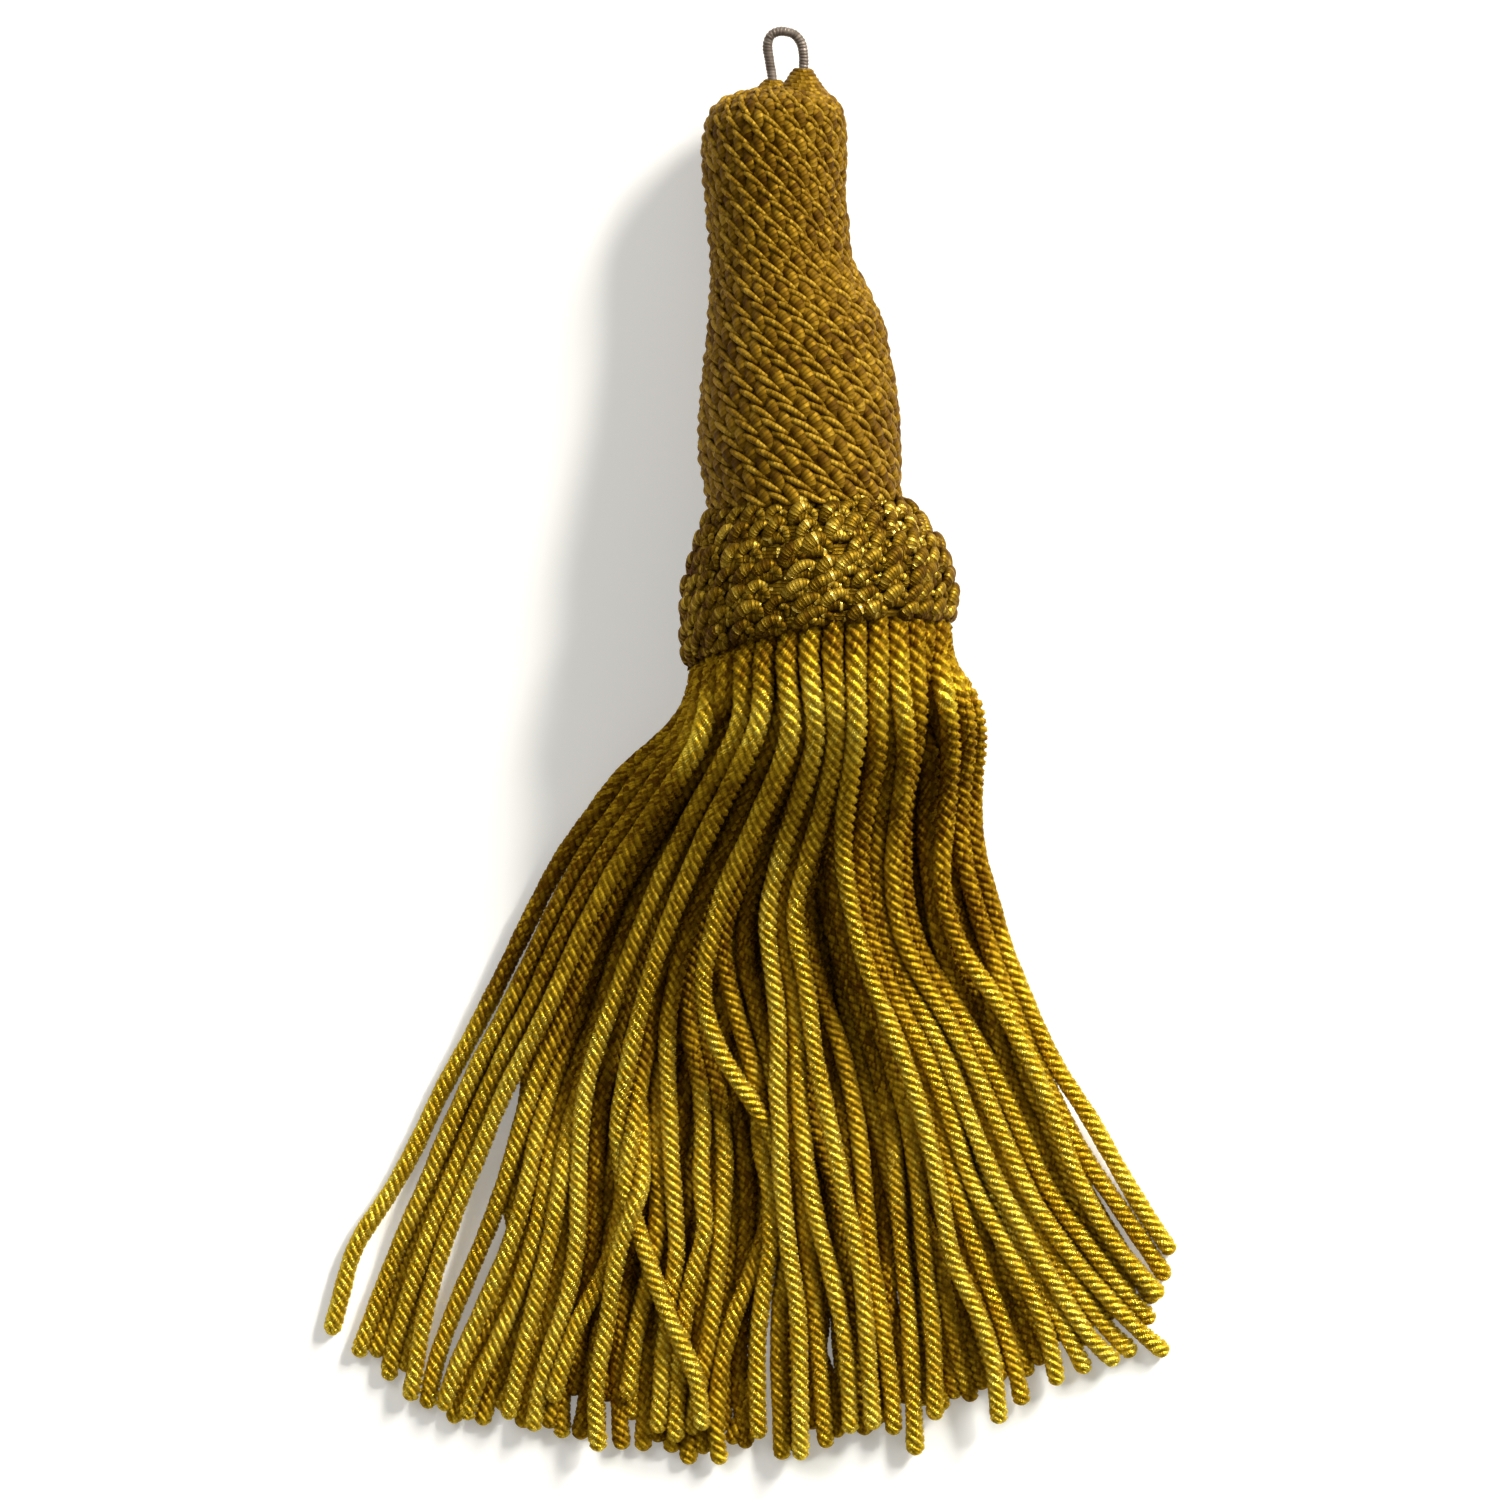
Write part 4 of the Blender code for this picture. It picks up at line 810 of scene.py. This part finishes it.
def make_collar(material):
    body = collar_body()
    parts = []
    rows = [0.35, 2.25, 4.15, 6.05, 7.95, 9.85, 11.75, 13.5]
    for n, s0 in enumerate(rows):
        if s0 > body.length + 0.3:
            break
        r = float(body.size(np.array(min(s0, body.length))))
        count = 29 if n < 6 else 27
        step = 2 * math.pi / count
        jitter = rng.normal(0, 1, (count, 4))
        a0 = step * (np.arange(count) + 0.5 * (n % 2) + 0.17 * n) + 0.045 * jitter[:, 0]
        across = step * r / 2.42
        # each hitch seen from outside: a full arched turn, a thinner one hooked down at its right, and the thread run under both
        for kind, k, sides, shape, height, low, full in (
            ("turn", 10, 10, [(-1.20, -1.25), (-0.90, -0.48), (-0.28, 0.20), (0.42, 0.52), (1.08, 0.30)], [-1.00, -0.50, -0.33, -0.36, -0.80], 0.27, 0.28),
            ("hook", 8, 8, [(0.10, -0.30), (0.62, -0.12), (1.06, -0.22), (1.16, -0.66), (0.98, -1.20)], [-0.85, -0.50, -0.42, -0.52, -0.95], 0.19, 0.17),
            ("under", 8, 8, [(-1.30, -0.50), (-0.65, -0.82), (0.00, -0.60), (0.65, -0.86), (1.30, -0.55)], [-0.95, -0.74, -0.70, -0.76, -0.95], 0.34, 0.22),
        ):
            q = np.linspace(0, 1, k)
            knots = np.linspace(0, 1, 5)
            local = curve(knots, np.array(shape), q)
            lift = curve(knots, np.array(height), q)[None] + 0.07 * jitter[:, 1:2]
            dx = local[None, :, 0] * across * (1 + 0.10 * jitter[:, 2:3])
            ds = local[None, :, 1] * (1 + 0.14 * jitter[:, 3:4]) + 0.45 + 0.14 * jitter[:, :1]
            a = a0[:, None] - dx / r
            s = np.clip(s0 + ds, -0.4, body.length)
            path = body.at(a, s, lift)
            facing = body.out(a, s)
            wide = (low + full * np.sin(np.pi * np.clip(q, 0.02, 0.98)) ** 0.6)[None] * (1 + 0.09 * jitter[:, 1:2]) + 0 * a
            # painted shade: the thread run under the hitches is painted darkest
            tone_and_painted_light = np.clip({"turn": 0.42, "hook": 0.52, "under": 0.12}[kind] + 0.24 * rng.normal(0, 1, count), 0, 1)
            parts.append(tube_parts(path, facing, wide, wide * 0.66, sides, 0.24, tone_and_painted_light))
    verts, quads, tris, quad_uv, tri_uv, tone = join_parts([*parts, body.shell(-0.90, 56, 30)])
    return make_mesh("collar_hitches", verts, [quads, tris], {"Thread": [quad_uv, tri_uv]}, [material], marks={"tone": tone}), body


# ---- loop -----------------------------------------------------------------------------------------------------------------
LOOP = np.array([
    (2.15, 52.3), (2.0, 54.5), (1.95, 56.0), (1.7, 57.6), (1.55, 58.8), (1.8, 59.6), (2.4, 59.95), (3.1, 59.95),
    (3.8, 59.7), (4.35, 59.0), (4.55, 58.0), (4.55, 57.0), (4.45, 56.0), (4.35, 54.5), (4.2, 52.3),
])


def make_loop(material):
    """Wire under a close covering of fine thread, each turn of the thread a ridge of its own."""
    knots = np.concatenate([[0], np.cumsum(np.linalg.norm(np.diff(LOOP, axis=0), axis=1))])
    total = knots[-1]
    wrap, per, sides = 0.27, 5, 14
    rings = int(total / wrap * per)
    s = np.linspace(0, total, rings)
    xy = curve(knots, LOOP, s) - MIDDLE
    centre = np.column_stack([xy, np.full(rings, LOOP_Z) + 0.05 * np.sin(s * 0.8)])
    tangent = np.gradient(centre, axis=0)
    tangent /= np.linalg.norm(tangent, axis=1, keepdims=True)
    up = np.array([0, 0, 1.0]) - tangent * tangent[:, 2:]
    up /= np.linalg.norm(up, axis=1, keepdims=True)
    side = np.cross(tangent, up)
    a = 2 * math.pi * np.arange(sides) / sides
    turns = s[:, None] / wrap - a[None] / (2 * math.pi)
    ridge = np.abs(np.sin(np.pi * turns)) ** 0.7
    uneven = 1 + 0.03 * np.sin(s * 1.3)[:, None] + 0.02 * np.sin(s * 3.1 + 1)[:, None]
    radius = (0.345 + 0.075 * ridge) * uneven
    ring = centre[:, None] + (np.cos(a) * radius)[..., None] * side[:, None] + (np.sin(a) * radius)[..., None] * up[:, None]
    verts = np.concatenate([ring.reshape(-1, 3), centre[[0, -1]]])
    i = np.arange(rings - 1)[:, None] * sides
    j = np.arange(sides)[None]
    n = (j + 1) % sides
    quads = np.stack([i + j, i + n, i + sides + n, i + sides + j], 2).reshape(-1, 4)
    jj, nn = np.arange(sides), (np.arange(sides) + 1) % sides
    tris = np.concatenate([np.stack([nn, jj, np.full(sides, rings * sides)], 1),
                           np.stack([(rings - 1) * sides + jj, (rings - 1) * sides + nn, np.full(sides, rings * sides + 1)], 1)])
    def coords(face):
        ringno, sideno = np.minimum(face // sides, rings - 1), face % sides
        return np.stack([s[ringno] / wrap, sideno / sides], -1)
    quad_uv = coords(quads)
    wrapped = quads % sides
    seam = (wrapped.max(1) == sides - 1) & (wrapped.min(1) == 0)
    quad_uv[seam, :, 1] = np.where(wrapped[seam] == 0, 1.0, quad_uv[seam, :, 1])
    return make_mesh("loop_wire_covering", verts, [quads, tris], {"Thread": [quad_uv, coords(tris)]}, [material], marks={"tone": np.full(len(verts), 0.5)})


# ---- materials --------------------------------------------------------------------------------------------------------------
def nodes_of(name):
    material = bpy.data.materials.new(name)
    material.use_nodes = True
    tree = material.node_tree
    return material, tree, tree.nodes["Principled BSDF"]


def add(tree, kind, **values):
    node = tree.nodes.new(kind)
    for key, value in values.items():
        setattr(node, key, value)
    return node


def ramp(tree, source, stops, smoothly=False):
    node = tree.nodes.new("ShaderNodeValToRGB")
    node.color_ramp.interpolation = "EASE" if smoothly else "LINEAR"
    while len(node.color_ramp.elements) < len(stops):
        node.color_ramp.elements.new(0.5)
    for element, (at, colour) in zip(node.color_ramp.elements, stops):
        element.position = at
        element.color = (*colour, 1.0) if len(colour) == 3 else colour
    tree.links.new(source, node.inputs[0])
    return node.outputs[0]


def math_node(tree, op, a, b=None, clamp=False):
    node = add(tree, "ShaderNodeMath", operation=op, use_clamp=clamp)
    for socket, value in zip(node.inputs, (a, b)):
        if value is None:
            continue
        if isinstance(value, (int, float)):
            socket.default_value = value
        else:
            tree.links.new(value, socket)
    return node.outputs[0]


def mix_colour(tree, factor, a, b, blend="MIX"):
    node = add(tree, "ShaderNodeMix", data_type="RGBA", blend_type=blend)
    for socket, value in ((node.inputs["Factor"], factor), (node.inputs[6], a), (node.inputs[7], b)):
        if isinstance(value, (int, float)):
            socket.default_value = value
        elif isinstance(value, tuple):
            socket.default_value = (*value, 1.0)
        else:
            tree.links.new(value, socket)
    return node.outputs[2]


def thread_material(name, dark, middle, bright, metallic, rough, groove_shade, bump, crease_shade=0.0, glint=0.5, sheen=0.0, skew=0.0, lobes=True, fine=0.9, painted_glint_share=0.0, uneven=0.35, mottle=0.4, grain=170.0, dull=0.0):
    """Metal-wrapped or silk thread: turns of fine thread across a yarn, each turn a little different from the next."""
    material, tree, shader = nodes_of(name)
    link = tree.links.new
    uv = add(tree, "ShaderNodeUVMap", uv_map="Thread")
    split = add(tree, "ShaderNodeSeparateXYZ")
    link(uv.outputs[0], split.inputs[0])
    x, y = split.outputs[0], split.outputs[1]
    tone = add(tree, "ShaderNodeAttribute", attribute_name="tone").outputs["Fac"]
    place = add(tree, "ShaderNodeTexCoord").outputs["Object"]
    if skew:
        x = math_node(tree, "ADD", x, math_node(tree, "MULTIPLY", y, skew))
    # every turn of the covering thread has a tone of its own
    turn = math_node(tree, "FLOOR", x)
    lane = math_node(tree, "FLOOR", math_node(tree, "MULTIPLY", y, 0.5 if lobes else 1.0))
    cell = add(tree, "ShaderNodeCombineXYZ")
    link(turn, cell.inputs[0])
    link(lane, cell.inputs[1])
    noise = add(tree, "ShaderNodeTexWhiteNoise", noise_dimensions="2D")
    link(cell.outputs[0], noise.inputs["Vector"])
    each = noise.outputs["Value"]
    broad = add(tree, "ShaderNodeTexNoise")
    broad.inputs["Scale"].default_value = grain
    broad.inputs["Detail"].default_value = 3.0
    link(place, broad.inputs["Vector"])
    value = math_node(tree, "ADD", math_node(tree, "MULTIPLY", each, glint), math_node(tree, "MULTIPLY", tone, 0.55))
    value = math_node(tree, "ADD", value, math_node(tree, "MULTIPLY", math_node(tree, "SUBTRACT", broad.outputs["Fac"], 0.5), mottle))
    colour = ramp(tree, math_node(tree, "SUBTRACT", value, glint * 0.5 - 0.225), [(0.12, dark), (0.5, middle), (0.92, bright)])
    # the profile of one turn of thread
    wave = math_node(tree, "ABSOLUTE", math_node(tree, "SINE", math_node(tree, "MULTIPLY", x, math.pi)))
    groove = ramp(tree, wave, [(0.0, (0, 0, 0)), (0.35, (0.75, 0.75, 0.75)), (1.0, (1, 1, 1))])
    # painted shade in the grooves between the turns: the colour is mixed towards the dark colour there
    colour = mix_colour(tree, math_node(tree, "MULTIPLY", math_node(tree, "SUBTRACT", 1.0, groove), groove_shade), colour, dark)
    if crease_shade:
        # painted shade in the creases between the plies, darker than the dark colour
        edge = math_node(tree, "PINGPONG", math_node(tree, "FRACT", math_node(tree, "MULTIPLY", y, 0.5)), 0.25)
        crease_shade_mask = ramp(tree, math_node(tree, "MULTIPLY", edge, 4.0), [(0.0, (1, 1, 1)), (0.42, (0, 0, 0))])
        colour = mix_colour(tree, math_node(tree, "MULTIPLY", crease_shade_mask, crease_shade), colour, tuple(c * 0.45 for c in dark))
    if painted_glint_share:
        # here and there a turn of the metal thread gets a painted glint, bright gold and smoother, most of them near
        # the collar's centre-right where the light catches it
        painted_glint_mask = ramp(tree, each, [(0.0, (0, 0, 0)), (1.0 - painted_glint_share - 0.02, (0, 0, 0)), (1.0 - painted_glint_share, (1, 1, 1))])
        where = add(tree, "ShaderNodeSeparateXYZ")
        link(place, where.inputs[0])
        aside = math_node(tree, "MULTIPLY", math_node(tree, "ABSOLUTE", math_node(tree, "SUBTRACT", where.outputs[0], 0.0075)), 100.0)
        painted_glint_mask = math_node(tree, "MULTIPLY", painted_glint_mask, ramp(tree, aside, [(0.35, (1, 1, 1)), (0.75, (0.12, 0.12, 0.12))]))
        colour = mix_colour(tree, painted_glint_mask, colour, (1.0, 0.72, 0.13))
    link(colour, shader.inputs["Base Color"])
    shader.inputs["Metallic"].default_value = metallic
    spread = math_node(tree, "ADD", math_node(tree, "MULTIPLY", math_node(tree, "SUBTRACT", each, 0.5), -0.16), rough)
    spread = math_node(tree, "ADD", spread, math_node(tree, "MULTIPLY", math_node(tree, "SUBTRACT", broad.outputs["Fac"], 0.5), 0.2))
    if dull:
        spread = math_node(tree, "ADD", spread, math_node(tree, "MULTIPLY", math_node(tree, "SUBTRACT", 0.46, tone, clamp=True), dull))
    if painted_glint_share:
        spread = math_node(tree, "SUBTRACT", spread, math_node(tree, "MULTIPLY", painted_glint_mask, rough - 0.22))
    link(math_node(tree, "MAXIMUM", spread, 0.12), shader.inputs["Roughness"])
    if sheen:
        shader.inputs["Sheen Weight"].default_value = sheen
        shader.inputs["Sheen Roughness"].default_value = 0.4
        shader.inputs["Sheen Tint"].default_value = (*bright, 1.0)
    shader.inputs["Specular IOR Level"].default_value = 0.5
    shader.inputs["Specular Tint"].default_value = (*(min(1.0, c * 1.4) for c in bright), 1.0)
    # relief: the turns, and fine filaments over them
    filament = add(tree, "ShaderNodeTexNoise", noise_dimensions="3D")
    filament.inputs["Scale"].default_value = 3.0
    filament.inputs["Detail"].default_value = 2.0
    stretch = add(tree, "ShaderNodeCombineXYZ")
    link(math_node(tree, "MULTIPLY", x, 1.6), stretch.inputs[0])
    link(math_node(tree, "MULTIPLY", y, 3.0), stretch.inputs[1])
    link(stretch.outputs[0], filament.inputs["Vector"])
    height = math_node(tree, "ADD", math_node(tree, "MULTIPLY", groove, fine), math_node(tree, "MULTIPLY", filament.outputs["Fac"], 0.5))
    height = math_node(tree, "ADD", height, math_node(tree, "MULTIPLY", each, uneven))
    relief = add(tree, "ShaderNodeBump")
    relief.inputs["Strength"].default_value = bump
    relief.inputs["Distance"].default_value = 0.00006
    link(height, relief.inputs["Height"])
    if crease_shade:
        # each ply is round between its two creases
        across = math_node(tree, "MULTIPLY", math_node(tree, "FRACT", math_node(tree, "MULTIPLY", y, 0.5)), 2.0)
        rounded = add(tree, "ShaderNodeBump")
        rounded.inputs["Strength"].default_value = 0.7
        rounded.inputs["Distance"].default_value = 0.00018
        link(math_node(tree, "SINE", math_node(tree, "MULTIPLY", across, math.pi)), rounded.inputs["Height"])
        link(rounded.outputs[0], relief.inputs["Normal"])
    link(relief.outputs[0], shader.inputs["Normal"])
    return material


# ---- build --------------------------------------------------------------------------------------------------------------
gold = thread_material(
    "fringe_gold_cord", dark=(0.18, 0.076, 0.003), middle=(0.64, 0.41, 0.018), bright=(1.0, 0.81, 0.11),
    metallic=0.80, rough=0.30, groove_shade=0.52, bump=1.1, crease_shade=0.36, glint=0.36, uneven=0.18, dull=0.9,
)
gold_collar = thread_material(
    "collar_gold_thread", dark=(0.055, 0.024, 0.001), middle=(0.165, 0.094, 0.005), bright=(0.39, 0.255, 0.028),
    metallic=0.70, rough=0.52, groove_shade=0.6, bump=1.1, glint=0.5, lobes=False, painted_glint_share=0.06, mottle=1.1, grain=560.0,
)
ochre = thread_material(
    "neck_ochre_yarn", dark=(0.066, 0.028, 0.0018), middle=(0.195, 0.104, 0.0055), bright=(0.35, 0.212, 0.021),
    metallic=0.35, rough=0.60, groove_shade=0.4, bump=0.8, glint=0.5, skew=1.6, lobes=False,
)
wire = thread_material(
    "loop_wire_thread", dark=(0.06, 0.046, 0.036), middle=(0.165, 0.135, 0.112), bright=(0.30, 0.26, 0.225),
    metallic=0.35, rough=0.5, groove_shade=0.5, bump=0.5, glint=0.4, lobes=False,
)

aims, grip, shown, ranks = lay_targets()
laid = relax(aims, grip, shown)

depth = depth_below(laid)
lines, tones = [], []
for c in range(len(laid)):
    first = laid[c][0]
    share = (first[2] - ROOT_Z) / ROOT_H
    deep = INSIDE[0] + INSIDE[1] * max(0.0, share)
    inside = first + np.array([0.06 - 0.025 * (first[0] - ROOT_X), 1.0, -0.05 * share]) * deep
    line = np.vstack([inside, laid[c]])
    lines.append((line, np.concatenate([[0.0], np.linspace(0, 1, POINTS)])))
    # painted shade: each point of a cord is painted darker the further it lies under the highest cords around it
    painted_shade = 0.50 * np.clip(depth[c] / 2.4 - 0.25, 0, 1.1) ** 0.8
    aside = abs(first[0] + MIDDLE[0] - ROOT_X) / ROOT_W
    # painted shade, with a duller gloss following it, where the fringe falls away below the rim, most of all at its
    # sides
    down = np.linspace(0, 1, POINTS)
    painted_shade = painted_shade + (0.13 + 0.55 * min(1.0, aside)) * smooth((down - 0.07) / 0.09) * (1 - smooth((down - 0.37) / 0.19))
    # painted shadow under the collar's lip over the first stretch of each cord, deeper towards the left
    painted_shade = painted_shade + (0.13 + 0.26 * smooth((ROOT_X - 1.0 - first[0] - MIDDLE[0]) / 5.0)) * (1 - smooth(down / 0.1)) + 0.40 * (1 - smooth(down / 0.04))
    # painted shade: cords of lower height rank, lying deeper, are painted darker and those on top lighter; the cords
    # under the shown ones are darker still
    painted_rank_shade = 0.07 * (ranks[c] - 3.4) - 0.13 * np.maximum(0.0, 3 - ranks[c]) if c < len(ranks) else -0.12 + 0 * painted_shade
    tones.append(np.clip(0.62 + 0.07 * rng.normal() + np.concatenate([[0.0], painted_rank_shade - painted_shade]), 0.02, 0.95))

fringe = []
GROUPS = 4
per = math.ceil(len(lines) / GROUPS)
for g in range(GROUPS):
    part = slice(g * per, (g + 1) * per)
    fringe.append(cord_mesh(f"fringe_cords_{g + 1}", lines[part], tones[part], gold))
for piece in fringe:
    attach(piece, "root")
    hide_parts("fringe")

neck, neck_surface = make_neck(ochre, None)
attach(neck, "root")
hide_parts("neck")

collar, collar_surface = make_collar(gold_collar)
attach(collar, "root")
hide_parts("collar")

loop = make_loop(wire)
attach(loop, "root")
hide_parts("hanging_loop")

# ---- floor, light and camera --------------------------------------------------------------------------------------------
floor_mesh = bpy.data.meshes.new("floor")
floor_mesh.from_pydata([(-3, -3, 0), (3, -3, 0), (3, 3, 0), (-3, 3, 0)], [], [(0, 1, 2, 3)])
floor = bpy.data.objects.new("floor", floor_mesh)
bpy.context.scene.collection.objects.link(floor)
pale, tree, shader = nodes_of("pale_floor")
shader.inputs["Base Color"].default_value = (0.86, 0.86, 0.855, 1)
shader.inputs["Roughness"].default_value = 0.9
shader.inputs["Emission Color"].default_value = (1.0, 1.0, 0.99, 1)
shader.inputs["Emission Strength"].default_value = 0.22
floor_mesh.materials.append(pale)

world = bpy.data.worlds.new("studio")
bpy.context.scene.world = world
world.use_nodes = True
tree = world.node_tree
background = tree.nodes["Background"]
where = add(tree, "ShaderNodeTexCoord")
split = add(tree, "ShaderNodeSeparateXYZ")
tree.links.new(where.outputs["Generated"], split.inputs[0])
sky = ramp(tree, math_node(tree, "ADD", math_node(tree, "MULTIPLY", split.outputs[2], 0.5), 0.5), [(0.45, (0.30, 0.28, 0.24)), (0.62, (0.62, 0.58, 0.48)), (1.0, (0.95, 0.91, 0.80))])
tree.links.new(sky, background.inputs["Color"])
background.inputs["Strength"].default_value = 0.33


def area_light(name, place, size, power, colour=(1, 1, 1)):
    data = bpy.data.lights.new(name, "AREA")
    data.shape = "DISK"
    data.size = size
    data.energy = power
    data.color = colour
    obj = bpy.data.objects.new(name, data)
    obj.location = place
    obj.rotation_mode = "QUATERNION"
    obj.rotation_quaternion = (-(Vector(place) - Vector((0, -0.01, 0.005)))).to_track_quat("-Z", "Y")
    bpy.context.scene.collection.objects.link(obj)
    return obj


area_light("key", (0.50, 0.545, 0.355), 0.30, 12.0, (1.0, 0.97, 0.90))
area_light("fill", (-0.36, 0.40, 0.62), 0.50, 1.9, (0.97, 0.98, 1.0))

# a narrow lamp on the lower fringe
spot_data = bpy.data.lights.new("lower", "SPOT")
spot_data.energy = 28.0
spot_data.color = (1.0, 0.98, 0.90)
spot_data.spot_size = math.radians(11.4)
spot_data.spot_blend = 0.9
spot_data.shadow_soft_size = 0.08
spot = bpy.data.objects.new("lower", spot_data)
spot.location = (0.36, 0.24, 0.36)
spot.rotation_mode = "QUATERNION"
spot.rotation_quaternion = (Vector((0.006, -0.045, 0.002)) - spot.location).to_track_quat("-Z", "Y")
bpy.context.scene.collection.objects.link(spot)

data = bpy.data.cameras.new("camera")
camera = bpy.data.objects.new("camera", data)
centre_x, centre_y = plan(750, 750)
camera.location = (centre_x * MM, centre_y * MM, 0.908)
camera.rotation_euler = (0, 0, 0)
data.sensor_width = 36.0
data.lens = 36.0 * 900.0 / 125.0
data.clip_start, data.clip_end = 0.05, 10.0
bpy.context.scene.collection.objects.link(camera)
bpy.context.scene.camera = camera
bpy.context.scene.view_settings.view_transform = "Standard"

bpy.context.view_layer.update()
